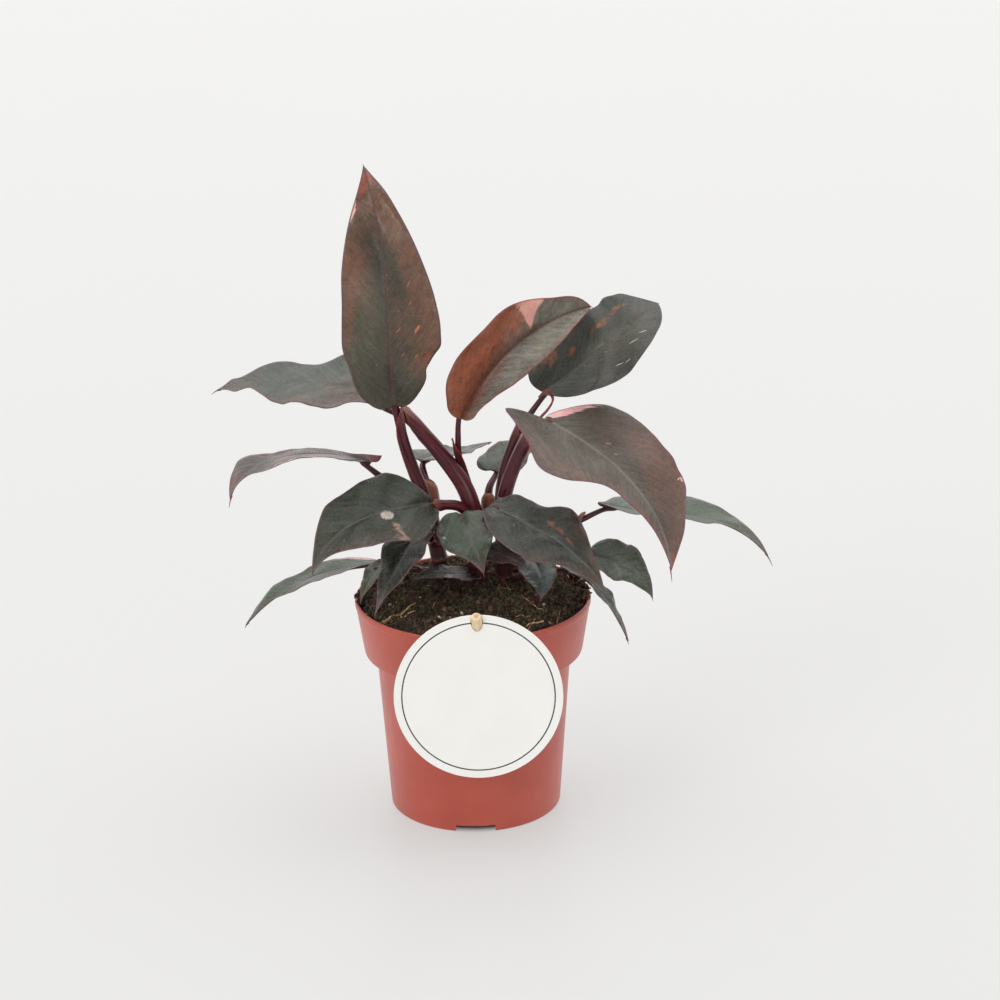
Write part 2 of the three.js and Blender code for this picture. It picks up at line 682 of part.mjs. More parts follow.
add('pot', toGeometry(pot()), LOOKS.pot);
add('soil', toGeometry(ground), LOOKS.soil);
add('card', toGeometry(card()), LOOKS.card);
add('card_stick', toGeometry(stick()), LOOKS.stick);
for (const [name, stem] of Object.entries(STEMS)) {
  add(`stem_${name}`, toGeometry(stemTube(stem)), LOOKS.stem);
}

let taken = holes.reduce((all, hole) => all.add(hole));
for (const [name, leaf] of Object.entries(LEAVES)) {
  add(`leaf_${name}`, blade(leaf), name === 'red' ? LOOKS.red : LOOKS.blade);
  add(`stalk_${name}`, toGeometry(largestPiece(stalkTube(leaf).subtract(taken))), LOOKS.stalk);
  taken = taken.add(stalkTube(leaf, GAP));
}
const curlRadius = (u) => CURL.radius[0] + (CURL.radius[1] - CURL.radius[0]) * u;
const curl = tube(CURL.path, curlRadius, CURL.sides, CURL.steps);
add('sheath_curl', toGeometry(largestPiece(curl.subtract(taken))), LOOKS.dry);

export default plant;
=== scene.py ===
"""Potted burgundy princess philodendron: the visible pieces and their materials, made round the
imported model. Lengths are in millimetres until a mesh is made; Blender's own are in metres."""
import math
from types import SimpleNamespace

import bmesh
import bpy
import numpy as np
from mathutils import Matrix, Vector, noise


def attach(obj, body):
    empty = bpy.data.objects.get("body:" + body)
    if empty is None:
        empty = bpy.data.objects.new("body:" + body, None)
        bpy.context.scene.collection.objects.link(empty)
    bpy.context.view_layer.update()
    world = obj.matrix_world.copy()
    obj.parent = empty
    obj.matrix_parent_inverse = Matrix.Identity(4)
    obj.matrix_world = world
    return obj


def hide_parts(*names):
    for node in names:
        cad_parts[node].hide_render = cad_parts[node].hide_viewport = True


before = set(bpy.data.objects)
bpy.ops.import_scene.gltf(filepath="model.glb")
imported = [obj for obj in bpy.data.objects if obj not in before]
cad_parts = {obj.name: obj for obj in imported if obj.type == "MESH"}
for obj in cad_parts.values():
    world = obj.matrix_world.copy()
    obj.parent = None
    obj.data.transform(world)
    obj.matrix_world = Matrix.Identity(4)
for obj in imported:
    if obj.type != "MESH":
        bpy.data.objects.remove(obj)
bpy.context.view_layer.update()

MM = 0.001
BODY = "root"
SEED = 20

# The camera of the photograph, and its frame of 1000 x 1000 pixels
FRAME_PIXELS = 1000
FOCAL_PIXELS = 2982.33
CAMERA_PLACE = (0.01442, -1.4141, 0.66333)
CAMERA_PITCH = 19.48  # degrees down
CAMERA_ROLL = 0.75

# The sizes of the part's solids, in millimetres
GAP = 0.35
BLADE_THICK = 0.8
POT = {
    "height": 112, "rim_radius": 60, "rim_lip": 3, "base_radius": 43.7, "wall": 1.6,
    "collar_height": 28, "collar_radius": 55.6, "neck_radius": 49.5, "neck_height": 1.5,
    "notches": 3, "notch_width": 20, "notch_height": 3.5, "notch_depth": 13, "drain_radius": 3.5,
    "floor": 5.5, "segments": 192,
}
SOIL = {"bottom": 6.5, "edge": 107.5, "crown": 118, "bump": 1.3, "play": 0.55, "heap": 3, "lean": 0.03}
CARD = {
    "radius": 41.7, "thick": 0.8, "tilt": 6.3, "centre": (2.6, -64.2, 83.4), "segments": 256,
    "ring": 0.904, "line": 0.33,
}
STICK = {"radius": 2.65, "length": 60, "ahead": 5, "through": (2.3, -60, 121), "axis": (-0.05, -0.5, 0.87)}
STEMS = {
    "left": {"path": [[-15, 6, 98], [-15.5, 6, 120], [-18.5, 5, 140], [-21, 3, 156]], "radius": [4.6, 4]},
    "middle": {"path": [[2, 2, 98], [2, 0, 120], [3, -3, 140], [3, -5, 155]], "radius": [5, 4.4]},
    "right": {"path": [[18, 6, 98], [17, 5, 120], [16, 2, 140], [15, 0, 157]], "radius": [5, 4]},
}
CURL_PATH = [[29, -7, 199], [34, -4.5, 207], [39, -5, 213], [41, -6.5, 218], [38, -6.5, 222], [34, -6, 219]]
SMALL_CURL_PATH = [[11, -9, 157], [12.5, -11, 161], [16, -12, 163.5], [19.5, -12, 162.5], [19, -12, 160.5]]
# Straws on the soil: x, y, heading in degrees, length and radius
STRAWS = [
    (-48, -31, 25, 22, 0.5), (-46, -33, 40, 15, 0.35), (-44, -30, 5, 17, 0.4), (-49, -28, -30, 10, 0.25),
    (-47, -27, 60, 9, 0.3), (-45, -34, 15, 12, 0.2), (26, -42, 35, 22, 0.5), (30, -36, 170, 12, 0.35),
    (27, -44, 50, 10, 0.2), (-22, -30, 45, 7, 0.2), (36, -24, 160, 14, 0.25),
]
# Crumbs over the rim: how many, and from which to which angle in degrees
SPILLS = [(130, -8, 40), (40, 172, 192)]
# A fibre's usual wavering, and the most that it bends with that
FIBRE_SWAY = 0.14
FIBRE_BEND = 0.16

# Light. The world is dim in front and bright behind; WORLD_TURN is where along Y it changes
WORLD_TURN = (-0.9, 0.2)
WORLD_FRONT = 0.22
WORLD_BACK = 1.05
LIGHT_COLOUR = (1, 0.995, 0.985, 1)
FLOOR_REACH = 30  # metres
FLOOR_TONE = 0.25
# The floor's glow is painted light that lightens the shadows on it
FLOOR_GLOW = 0.445
# Each lamp: name, the direction it shines from, its width in degrees and its strength
LIGHTS = [
    ("top", (0.05, 0.1, 1), 80, 1.5),
    ("front_right", (0.45, -1, 0.2), 26, 0.42),
    ("front_left", (-0.9, -1, 0.8), 28, 0.95),
]

# What all blades share: the part of the length over which a lobe sweeps back, the waves of a margin,
# their shift from one side to the other, the share of the full width below which they fade, and how
# the half widths crowd towards the base
LOBE_REACH = 0.4
WAVES = 2.5
WAVE_SHIFT = 0.4
WAVE_WIDTH = 0.7
WIDTH_CROWDING = 1.6
# The half widths of a plain heart-shaped blade, as shares of the widest
HEART = [0.5, 0.85, 0.97, 1, 0.93, 0.8, 0.6, 0.33]


def heart(widest):
    return [share * widest for share in HEART]


# The shape of each leaf, nearly as in the part's source: some margins come closer to the photograph.
# mid: four points of its midrib, from the base to the tip. face: where its upper side looks, at even
# steps. widths: half widths of its left and right side, seen from above with the tip away. blunt: how
# full the sides stay near the tip. lobe: how far they reach back past the base, and rise: how far they
# rise there. fold: by how many degrees they fold up. wave: the height of the margin's waves. stalk: the
# stem it leaves and at what height, the points it passes, its radii at the foot, at the end of its
# sheath and at the blade, and the share of it that the sheath wraps.
LEAVES = {
    "tall": {
        "mid": [[-37, -8, 216], [-39, -14, 255], [-41, -10, 294], [-50, 8, 334]],
        "face": [[0.1, -1, 0.1], [0.05, -1, 0], [0, -1, 0.3]],
        "widths": [[5, 12, 17.7, 20.3, 22.7, 22, 20.5, 14], [4, 10.7, 16.6, 20.3, 25.6, 24, 18.7, 11]],
        "lobe": [1, 1], "fold": [6, 10], "wave": 1,
        "stalk": {"from": "left", "height": 153, "via": [[-24, 3, 166], [-28, 2, 177], [-33, -2, 194.5]],
                  "radius": [3.4, 2.4, 2], "sheath": 0.9},
    },
    "left_high": {
        "mid": [[-43, 12, 212], [-67, 18, 219], [-96, 23, 220], [-128, 26, 215]],
        "face": [[0, -0.25, 1], [0, -0.22, 1], [-0.3, -0.3, 1]],
        "widths": [[4, 6, 8.8, 12, 21, 23.3, 20, 6], [10, 15, 20, 24, 25, 16, 16, 10]], "lobe": [1, 5],
        "fold": [0, 8], "wave": 1.5,
        "stalk": {"from": "middle", "height": 152,
                  "via": [[-3, -3, 171], [-12.5, 0, 185], [-24, 4, 198], [-33.5, 8, 206]],
                  "radius": [4.4, 3.2, 1.6], "sheath": 0.82},
    },
    "right_big": {
        "mid": [[37, -12, 210], [65, -28, 196], [87, -42, 175], [98, -50, 143]],
        "face": [[0.2, -0.6, 0.8], [0.4, -0.6, 0.75], [0.8, -0.6, 0.3]],
        "widths": [[1, 8.5, 18, 27, 30.5, 28, 28, 17.5], [6.5, 10.5, 18, 29, 27.3, 13.5, 10, 5.3]],
        "lobe": [0, 19], "fold": [4, 2], "wave": 1.2,
        "stalk": {"from": "right", "height": 154, "via": [[17, -6, 169], [21, -7, 182], [27, -8, 195]],
                  "radius": [3.6, 3.2, 1.6], "sheath": 0.8},
    },
    "left_mid": {
        "mid": [[-50, -2, 185], [-72, -10, 192], [-101, -20, 192], [-119, -26, 174.5]],
        "face": [[0, 0.22, 1], [0, 0.2, 1], [-0.9, -0.45, 0.45]],
        "widths": [[1, 4, 12, 17, 16, 16, 15, 5], [2.5, 1, 3.5, 10, 15.5, 17, 13, 14]], "lobe": [0, 6],
        "rise": [0, 5], "fold": [1, 3], "wave": 0.6,
        "stalk": {"from": "left", "height": 147, "via": [[-30, 2, 161], [-40, 2, 171]],
                  "radius": [2.6, 2.1, 1.4], "sheath": 0.74},
    },
    "left_front": {
        "mid": [[-21, -16, 168], [-40, -32, 170], [-62, -46, 165], [-78, -52, 145]],
        "face": [[0, -0.7, 0.75], [-0.1, -0.45, 0.9], [-0.6, -0.5, 0.6]],
        "widths": [[5.4, 9.7, 14.3, 20.3, 25.4, 24.4, 19.2, 9.1],
                   [2, 7.8, 16.6, 21.6, 20.6, 20.2, 18.3, 9.4]],
        "lobe": [2, 3], "fold": [4, 8], "wave": 1,
        "stalk": {"from": "middle", "height": 151, "via": [[-6, -8, 162.9]], "radius": [2.8, 2.2, 1.5],
                  "sheath": 0.8},
    },
    "low_left": {
        "mid": [[-23, -16, 153], [-34, -30, 147], [-41, -42, 136], [-48, -50, 122]],
        "face": [[-0.4, -0.6, 0.7], [-0.5, -0.7, 0.6], [-0.6, -0.6, 0.5]],
        "widths": [[3, 6, 8.5, 10.3, 13.2, 12.6, 8.2, 2.4], [4, 7, 9, 10.5, 11.5, 9, 6.6, 3.6]],
        "lobe": [3, 3], "fold": [8, 8], "wave": 1,
        "stalk": {"from": "left", "height": 137, "via": [[-22, -9, 147]], "radius": [2, 1.5, 1.2],
                  "sheath": 0.5},
    },
    "low_left_back": {
        "mid": [[-44, -6, 131], [-49, -12, 130], [-53, -20, 126], [-56, -26, 120]],
        "face": [[-0.4, -0.6, 0.7], [-0.5, -0.7, 0.6], [-0.6, -0.6, 0.5]],
        "widths": [heart(7), heart(6)], "lobe": [2, 2], "fold": [6, 6], "wave": 0.5,
        "stalk": {"from": "left", "height": 121, "via": [[-32, -2, 127]], "radius": [1.6, 1.2, 1],
                  "sheath": 0.4},
    },
    "left_low": {
        "mid": [[-48, 6, 128], [-70, 2, 126], [-93.4, -6, 119.5], [-115, -14, 103]],
        "face": [[0, 0.1, 1], [0, 0.1, 1], [-0.4, 0, 1]],
        "widths": [[1, 2, 2.6, 4, 8.1, 12.5, 9.5, 1], [1, 3, 11.5, 12.9, 12.9, 12.5, 11, 8.1]],
        "lobe": [3, 3], "fold": [4, 6], "wave": 0.7,
        "stalk": {"from": "left", "height": 121, "via": [[-32, 6, 125]], "radius": [2, 1.5, 1.2],
                  "sheath": 0.5},
    },
    "center": {
        "mid": [[-5, -16, 161.8], [-2, -26, 155.5], [2, -34, 148.5], [6, -38, 137.5]],
        "face": [[0, -0.6, 0.8], [0.05, -0.75, 0.65], [0.1, -0.9, 0.4]],
        "widths": [[6, 9, 11.5, 12.5, 12.6, 11.9, 9.3, 3.9], [5.6, 9.3, 12.3, 14.7, 14.8, 14, 9.3, 4]],
        "lobe": [1, 1], "fold": [4, 4], "wave": 0.8,
        "stalk": {"from": "middle", "height": 143, "via": [[-2, -9, 152.5]], "radius": [2.2, 1.6, 1.3],
                  "sheath": 0.5},
    },
    "right_front": {
        "mid": [[10, -17, 167.3], [29, -30, 160.3], [49, -41, 150.3], [65, -49, 133.3]],
        "face": [[0.1, -0.5, 0.85], [0.2, -0.5, 0.85], [0.5, -0.5, 0.7]],
        "widths": [[5.3, 5.7, 10.5, 12.4, 13.7, 18.2, 15, 6.1],
                   [6.2, 8.8, 12.8, 16.8, 20, 19.4, 13.8, 7.8]],
        "lobe": [0, 0], "fold": [14, 0], "wave": 1.2,
        "stalk": {"from": "right", "height": 148, "via": [[12, -11, 158.5]], "radius": [2.4, 1.8, 1.4],
                  "sheath": 0.5},
    },
    "red": {
        "mid": [[-4, -6, 208], [10, -4, 231], [32, 0, 251], [61, 12, 260]],
        "face": [[0.43, -0.75, 0], [0.35, -0.75, 0.1], [0.2, -0.7, 0.5]],
        "widths": [[3.5, 12.3, 18.3, 24, 25, 23.5, 20.4, 11.3], [1.5, 5, 6.3, 8.7, 11.5, 14.8, 15.7, 12.4]],
        "blunt": [1.5, 0.6], "lobe": [0, 0], "fold": [20, 40], "wave": 0.8,
        "stalk": {"from": "middle", "height": 143,
                  "via": [[1, 4, 158], [-2.5, 5, 172], [-5.5, 2, 185], [-6, -2, 196]],
                  "radius": [2.6, 1.9, 1.4], "sheath": 0.78},
    },
    "dark_right": {
        "mid": [[36, 6, 218], [55, 2, 233], [75, 2, 250], [94, 14, 261]],
        "face": [[-0.4, -0.6, 0.7], [-0.45, -0.5, 0.7], [-0.3, -0.3, 0.9]],
        "widths": [[9.5, 17, 21, 23, 23.5, 22, 22, 21.5], [2, 4, 8.4, 14.6, 21, 26.3, 27.8, 19.8]],
        "blunt": [2.1, 0.05], "lobe": [4, 0], "fold": [12, 6], "wave": 1,
        "stalk": {"from": "right", "height": 148,
                  "via": [[14.5, 5, 162], [15.5, 3, 172], [19, 3, 186], [25, 4, 199]],
                  "radius": [2.8, 2.1, 1.4], "sheath": 0.72},
    },
    "right_far": {
        "mid": [[68, 6, 158], [98, 12, 151.5], [127, 16, 144.2], [151, 10, 127.5]],
        "face": [[0, 0.1, 1], [0.1, 0, 1], [0.5, -0.1, 1]],
        "widths": [[1, 4, 13, 18.5, 19.5, 19.3, 19, 9], [1, 4, 8.5, 11, 12, 11, 5.5, 2]], "lobe": [4, 4],
        "fold": [6, 4], "wave": 0.8,
        "stalk": {"from": "right", "height": 136, "via": [[42, 0, 145], [55, 2, 151]],
                  "radius": [2.4, 1.8, 1.3], "sheath": 0.75},
    },
    "right_low": {
        "mid": [[60, -8, 136], [71, -16, 136], [82, -24, 133], [90, -30, 121]],
        "face": [[0, -0.4, 0.9], [0.1, -0.4, 0.9], [0.5, -0.5, 0.6]],
        "widths": [[6, 10, 12.4, 14, 13.6, 11.9, 8.1, 4], [5, 8, 9, 10, 11.2, 13.2, 12.7, 7.5]],
        "lobe": [3, 3], "fold": [6, 4], "wave": 0.8,
        "stalk": {"from": "right", "height": 123, "via": [[40, -1, 131]], "radius": [2, 1.5, 1.2],
                  "sheath": 0.5},
    },
    "rim_right": {
        "mid": [[46, -24, 137], [59.2, -36, 132], [69.4, -46, 122], [77, -52, 107]],
        "face": [[0.5, -0.1, 0.8], [0.7, -0.15, 0.6], [0.85, -0.1, 0.4]],
        "widths": [heart(10), heart(8)], "lobe": [2, 0], "fold": [6, 6], "wave": 0.8,
        "stalk": {"from": "right", "height": 117, "via": [[32, -12, 128]], "radius": [1.8, 1.3, 1.1],
                  "sheath": 0.5},
    },
    "soil_right": {
        "mid": [[31, -18, 137.4], [34, -28, 134.4], [35, -35, 130.4], [34, -40, 125.4]],
        "face": [[0, -0.6, 0.8], [0, -0.7, 0.7], [0, -0.8, 0.6]],
        "widths": [heart(9), heart(10)], "lobe": [3, 3], "fold": [6, 6], "wave": 0.5,
        "stalk": {"from": "right", "height": 130, "via": [[23, -8, 134.5]], "radius": [1.8, 1.3, 1.1],
                  "sheath": 0.5},
    },
    "back_left": {
        "mid": [[-25, 22, 178], [-14, 33, 177], [-2, 46, 175], [10, 58, 175]],
        "face": [[0, 0.1, 1], [0, 0.1, 1], [0, 0.2, 1]],
        "widths": [heart(12), heart(12)], "lobe": [3, 3], "fold": [8, 8], "wave": 0.8,
        "stalk": {"from": "left", "height": 150, "via": [[-21, 9, 163], [-24, 16, 172]],
                  "radius": [3.2, 2.6, 1.3], "sheath": 0.6},
    },
    "back_right": {
        "mid": [[12, 18, 173], [17, 28, 178], [25, 40, 180], [35, 54, 180]],
        "face": [[-0.3, -0.5, 0.8], [-0.3, -0.5, 0.8], [-0.3, -0.4, 0.9]],
        "widths": [heart(11), heart(16)], "lobe": [1, 3], "fold": [6, 6], "wave": 0.8,
        "stalk": {"from": "right", "height": 141, "via": [[9, 9, 157], [9, 12, 165]],
                  "radius": [3, 2.4, 1.2], "sheath": 0.6},
    },
    "soil_left": {
        "mid": [[-1, -8, 127], [-10, -16, 130], [-20, -24, 133], [-30, -30, 132]],
        "face": [[0, -0.2, 1], [0, -0.2, 1], [0, -0.2, 1]],
        "widths": [heart(9), heart(9)], "lobe": [2, 2], "fold": [4, 4], "wave": 0.5,
        "stalk": {"from": "middle", "height": 120, "via": [[1, -4, 124]], "radius": [1.4, 1.1, 1],
                  "sheath": 0.4},
    },
    "soil_middle": {
        "mid": [[8, -12, 142], [14, -20, 142], [21, -28, 142], [27, -34, 140]],
        "face": [[0, -0.4, 0.9], [0, -0.4, 0.9], [0, -0.4, 0.9]],
        "widths": [heart(9), heart(9)], "lobe": [2, 2], "fold": [4, 4], "wave": 0.5,
        "stalk": {"from": "middle", "height": 132, "via": [[5, -7, 138]], "radius": [1.4, 1.1, 1],
                  "sheath": 0.4},
    },
}

# How each leaf is coloured. main and second are two colours of its upper side, and blush says where
# the second lies: spots of (t along, s across from -1 to 1, their two radii, strength). tint is a
# third, streaked colour, and tints are its spots. shade are spots of painted sheen and painted shade,
# lighter and darker. patches are pale wedges that start at the margin: (t and half length at the
# margin, t and |s| at the point, side), and spots are round ones: (t, s, their two radii). patch is the
# colour of both. flecks says how many small marks a leaf has, fleck their colour and marked where most
# of them are. rib and edge colour midrib and margin. nicks are bulges and dents of the margin: (t,
# side, size, length). gloss is how strongly the leaf shines, and drip how long the needle at its tip is.
LEAF_LOOKS = {
    "tall": {
        "main": "413d2e", "second": "6c4a36", "fleck": "c8704c", "flecks": 0.75, "rib": "5a3c38",
        "blush": [(0.95, 0.3, 0.2, 1.5, 0.8), (0.68, 0.75, 0.3, 0.5, 0.75), (0.35, 0.95, 0.25, 0.35, 0.8),
                  (0.62, -0.75, 0.16, 0.45, 0.8), (0.3, 0.3, 0.2, 0.5, 0.3), (0.45, -0.95, 0.2, 0.2, 0.7)],
        "tint": "9c4c38",
        "tints": [(1, 0, 0.07, 2, 1.6), (0.93, -0.9, 0.08, 0.4, 0.6), (0.22, 0.85, 0.05, 0.2, 0.7)],
        "patches": [(0.85, 0.07, 0.85, 0.8, -1)],
        "marked": [(0.25, 0.4, 0.22, 0.5, 1), (0.55, 0.3, 0.15, 0.4, 0.6), (0.36, -0.8, 0.12, 0.3, 0.7)],
        "shade": [(0.74, -0.4, 0.09, 0.35, -0.4), (0.62, -0.1, 0.1, 0.14, -0.35),
                  (0.46, -0.4, 0.1, 0.3, 0.45), (0.33, -0.5, 0.09, 0.3, 0.4), (0.12, 0, 0.12, 0.3, -0.3),
                  (0.2, -0.8, 0.14, 0.08, 0.5), (0.55, 0.25, 0.12, 0.15, -0.3),
                  (0.4, 0.6, 0.2, 0.15, -0.25), (0.2, 0.6, 0.1, 0.2, 0.3)],
        "nicks": [(0.28, 1, 1.4, 0.035), (0.17, 1, -1.2, 0.03), (0.9, 1, 0.8, 0.06), (0.27, -1, 1, 0.06)],
    },
    "left_high": {
        "main": "3f443b", "second": "5c4d44", "fleck": "c79a90", "flecks": 0.5,
        "blush": [(0.1, -0.3, 0.3, 0.8, 0.9), (0.5, -0.9, 0.3, 0.3, 0.7), (0.9, 0, 0.12, 1, 0.6)],
        "drip": 3,
        "nicks": [(0.9, -1, 3.2, 0.035), (0.82, -1, -1.4, 0.03), (0.925, 1, 2.4, 0.03), (0.6, -1, 1, 0.03)],
    },
    "right_big": {
        "main": "473f34", "second": "664a3e", "fleck": "c98f78", "flecks": 0.42, "rib": "7c746c",
        "blush": [(0.55, -0.7, 0.35, 0.5, 0.8), (0.75, -0.75, 0.2, 0.5, 0.8), (0.97, 0, 0.1, 1, 0.9),
                  (0.3, 0.8, 0.3, 0.3, 0.6), (0.8, 0.8, 0.2, 0.4, 0.7)],
        "tint": "8a4a3c", "tints": [(1, 0, 0.07, 2, 1.6), (0.7, -1, 0.15, 0.15, 0.7)],
        "patches": [(0.05, 0.13, 0.03, 0.25, -1), (0.655, 0.018, 0.635, 0.85, -1)], "drip": 4,
        "nicks": [(0.6, -1, -1.4, 0.035), (0.69, -1, 0.8, 0.05)], "patch": "e8a8a8", "edge": "7a4048",
        "shade": [(0.3, 0.25, 0.25, 0.2, 0.3), (0.6, 0.2, 0.2, 0.15, 0.35), (0.4, 0, 0.35, 0.1, 0.3),
                  (0.4, -0.35, 0.2, 0.2, -0.25), (0.75, -0.3, 0.12, 0.3, -0.3),
                  (0.12, -0.3, 0.1, 0.3, 0.25)],
        "marked": [(0.4, -0.4, 0.2, 0.5, 1), (0.25, 0.4, 0.1, 0.3, 0.8)],
    },
    "left_mid": {
        "main": "403f3b", "second": "684644", "fleck": "c79a90", "flecks": 0.2,
        "blush": [(0.45, -0.4, 0.25, 0.6, 0.8), (0.97, 0, 0.14, 1.5, 1), (0.4, 0.8, 0.3, 0.3, 0.7)],
        "tint": "c8a8a0", "tints": [(0.5, -0.9, 0.2, 0.12, 0.9)], "edge": "7c4a4e", "drip": 3,
    },
    "left_front": {
        "gloss": 0.42, "main": "202818", "second": "3c3428", "fleck": "9a8a64", "flecks": 0.5,
        "blush": [(0.85, 0.2, 0.2, 1, 0.5), (0.3, -0.6, 0.1, 0.3, 0.3), (0.6, -0.8, 0.3, 0.3, 0.7)],
        "tint": "a08070",
        "tints": [(0.42, -0.92, 0.05, 0.16, 1), (0.37, -0.45, 0.025, 0.2, 0.9),
                  (0.39, -0.68, 0.015, 0.18, 0.8)],
        "shade": [(0.3, 0.1, 0.16, 0.3, -0.3), (0.6, -0.5, 0.15, 0.3, -0.2), (0.5, 0.7, 0.2, 0.3, 0.2)],
        "spots": [(0.37, -0.1, 0.05, 0.13)], "patch": "88847a",
    },
    "low_left": {
        "main": "20261b", "second": "463838", "fleck": "8a9a84", "flecks": 0.15,
        "blush": [(0.95, 0, 0.25, 1.5, 0.9)],
    },
    "low_left_back": {
        "main": "34401f", "second": "50502c", "fleck": "8a8a64", "flecks": 0.2,
        "blush": [(0.9, 0, 0.3, 1.5, 0.8)],
    },
    "left_low": {
        "main": "36452f", "second": "48443f", "fleck": "a8b8a4", "flecks": 0.3,
        "blush": [(0.5, -0.6, 0.6, 0.7, 0.8)], "patches": [(0.17, 0.17, 0.1, 0.6, 1)], "patch": "d8a49c",
    },
    "center": {
        "main": "323d2b", "second": "463e33", "fleck": "8a8a7a", "flecks": 0.15,
        "blush": [(0.95, 0, 0.2, 1.2, 0.8)], "spots": [(0.33, 0.8, 0.03, 0.07)], "patch": "8f9184",
    },
    "right_front": {
        "main": "30332b", "second": "453629", "fleck": "b8b8a8", "flecks": 0.2, "rib": "585c54",
        "blush": [(0.97, 0, 0.2, 1.5, 1), (0.7, -0.8, 0.3, 0.3, 0.6), (0.75, 0.8, 0.3, 0.3, 0.6)],
        "tint": "94543a",
        "tints": [(0.44, -0.38, 0.05, 0.1, 0.95), (0.53, -0.3, 0.05, 0.06, 1),
                  (0.63, -0.23, 0.05, 0.05, 0.9)],
    },
    "red": {
        "main": "8e4c32", "second": "6a6458", "fleck": "d08a64", "flecks": 0.4, "rib": "5a2c20",
        "blush": [(0.3, 0.85, 0.4, 0.6, 0.8), (0.7, 0.5, 0.3, 0.8, 1), (0.93, -0.3, 0.2, 1, 1),
                  (0.78, -0.5, 0.08, 0.4, 0.7)],
        "patches": [(0.73, 0.07, 0.66, 0.1, -1)], "patch": "d8988a", "edge": "8a4438",
        "shade": [(0.35, -0.55, 0.3, 0.15, 0.4), (0.4, -0.08, 0.5, 0.12, -0.4), (0.65, 0.6, 0.2, 0.3, 0.3),
                  (0.12, 0.3, 0.12, 0.3, -0.3), (0.15, -0.85, 0.15, 0.15, 0.35),
                  (0.5, 0.25, 0.2, 0.15, -0.2)],
    },
    "dark_right": {
        "main": "26291f", "second": "403d31", "fleck": "d8ccb8", "flecks": 0.95, "edge": "443a38",
        "blush": [(0.6, 0.3, 0.4, 0.8, 0.6)], "tint": "8c5228",
        "tints": [(0.18, -0.6, 0.08, 0.2, 0.8), (0.33, -0.4, 0.05, 0.12, 0.75),
                  (0.58, -0.5, 0.09, 0.11, 0.85), (0.76, -0.55, 0.1, 0.09, 0.8)],
        "marked": [(0.6, 0.45, 0.16, 0.45, 1), (0.3, -0.3, 0.1, 0.2, 0.5)],
        "shade": [(0.35, 0.5, 0.25, 0.4, -0.4), (0.7, 0.1, 0.2, 0.3, 0.35), (0.75, 0.75, 0.15, 0.2, -0.3),
                  (0.45, -0.1, 0.25, 0.1, 0.35)],
    },
    "right_far": {
        "drip": 4, "main": "3e4c38", "second": "56564a", "fleck": "b8c0b0", "flecks": 0.15,
        "blush": [(0.9, 0, 0.2, 1, 0.6)],
    },
    "right_low": {
        "main": "2f3d27", "second": "484836", "fleck": "a8b89c", "flecks": 0.3,
        "blush": [(0.5, -0.95, 0.6, 0.2, 0.7)],
    },
    "rim_right": {
        "main": "364030", "second": "484a40", "fleck": "a8b0a0", "flecks": 0.15,
        "blush": [(0.3, 0.8, 0.5, 0.4, 0.7)],
    },
    "soil_right": {
        "main": "464e4c", "second": "666e6a", "fleck": "a8b0a0", "flecks": 0.1,
        "blush": [(0.3, -0.6, 0.4, 0.5, 0.8)],
    },
    "back_left": {
        "main": "424840", "second": "6a4636", "fleck": "a8a89c", "flecks": 0.2,
        "blush": [(1, 0, 0.16, 2, 1)],
    },
    "back_right": {
        "main": "343e30", "second": "42423a", "fleck": "a8a89c", "flecks": 0.2,
        "blush": [(0.7, 0.5, 0.4, 0.6, 0.5)],
    },
    "soil_left": {
        "gloss": 0.15, "main": "1e2415", "second": "34221e", "fleck": "8a8a64", "flecks": 0.1,
        "blush": [(0.2, 0, 0.3, 1, 0.7)],
    },
    "soil_middle": {
        "gloss": 0.2, "main": "24221c", "second": "422826", "fleck": "8a8a64", "flecks": 0.1,
        "blush": [(0.6, 0, 0.4, 1, 0.7)],
    },
}

# How each stalk is coloured, from 0, burgundy, to 1, dark green, and which way the free tip of its
# sheath stands
STALK_LOOKS = {
    "tall": (0.05, (1, -0.3, 0.3)), "left_high": (0, (1, -0.5, 0.6)), "right_big": (0.05, (-1, -0.5, 0)),
    "left_mid": (0.5, (1, -0.4, 0.5)), "left_front": (0.1, (0, -0.5, 1)), "low_left": (0.3, (1, -0.3, 0.3)),
    "low_left_back": (0.7, (0, 0, 1)), "left_low": (0.6, (0, 0, 1)), "center": (0.3, (1, 0, 0.5)),
    "right_front": (0.3, (0, -0.2, 1)), "red": (0.1, (-1, -0.2, 0)), "dark_right": (0.45, (-1, -0.3, 0.3)),
    "right_far": (0.75, (-0.5, -0.3, 1)), "right_low": (0.7, (0, 0, 1)), "rim_right": (0.7, (0, 0, 1)),
    "soil_right": (0.6, (0, 0, 1)), "back_left": (0.2, (1, -0.6, 0.2)), "back_right": (0.3, (-0.6, -1, 0.2)),
    "soil_left": (0.2, (0, 0, 1)), "soil_middle": (0.2, (0, 0, 1)),
}
# These stalks come out of a closed, rounded hood instead of an open sheath
HOODED = ("back_left", "back_right")


# Meshes

def linear(text):
    """Linear colour of a hexadecimal display colour, with alpha."""
    values = [int(text[i:i + 2], 16) / 255 for i in (0, 2, 4)]
    return [v / 12.92 if v <= 0.04045 else ((v + 0.055) / 1.055) ** 2.4 for v in values] + [1]


def unit(vectors):
    vectors = np.asarray(vectors, float)
    return vectors / np.maximum(np.linalg.norm(vectors, axis=-1, keepdims=True), 1e-12)


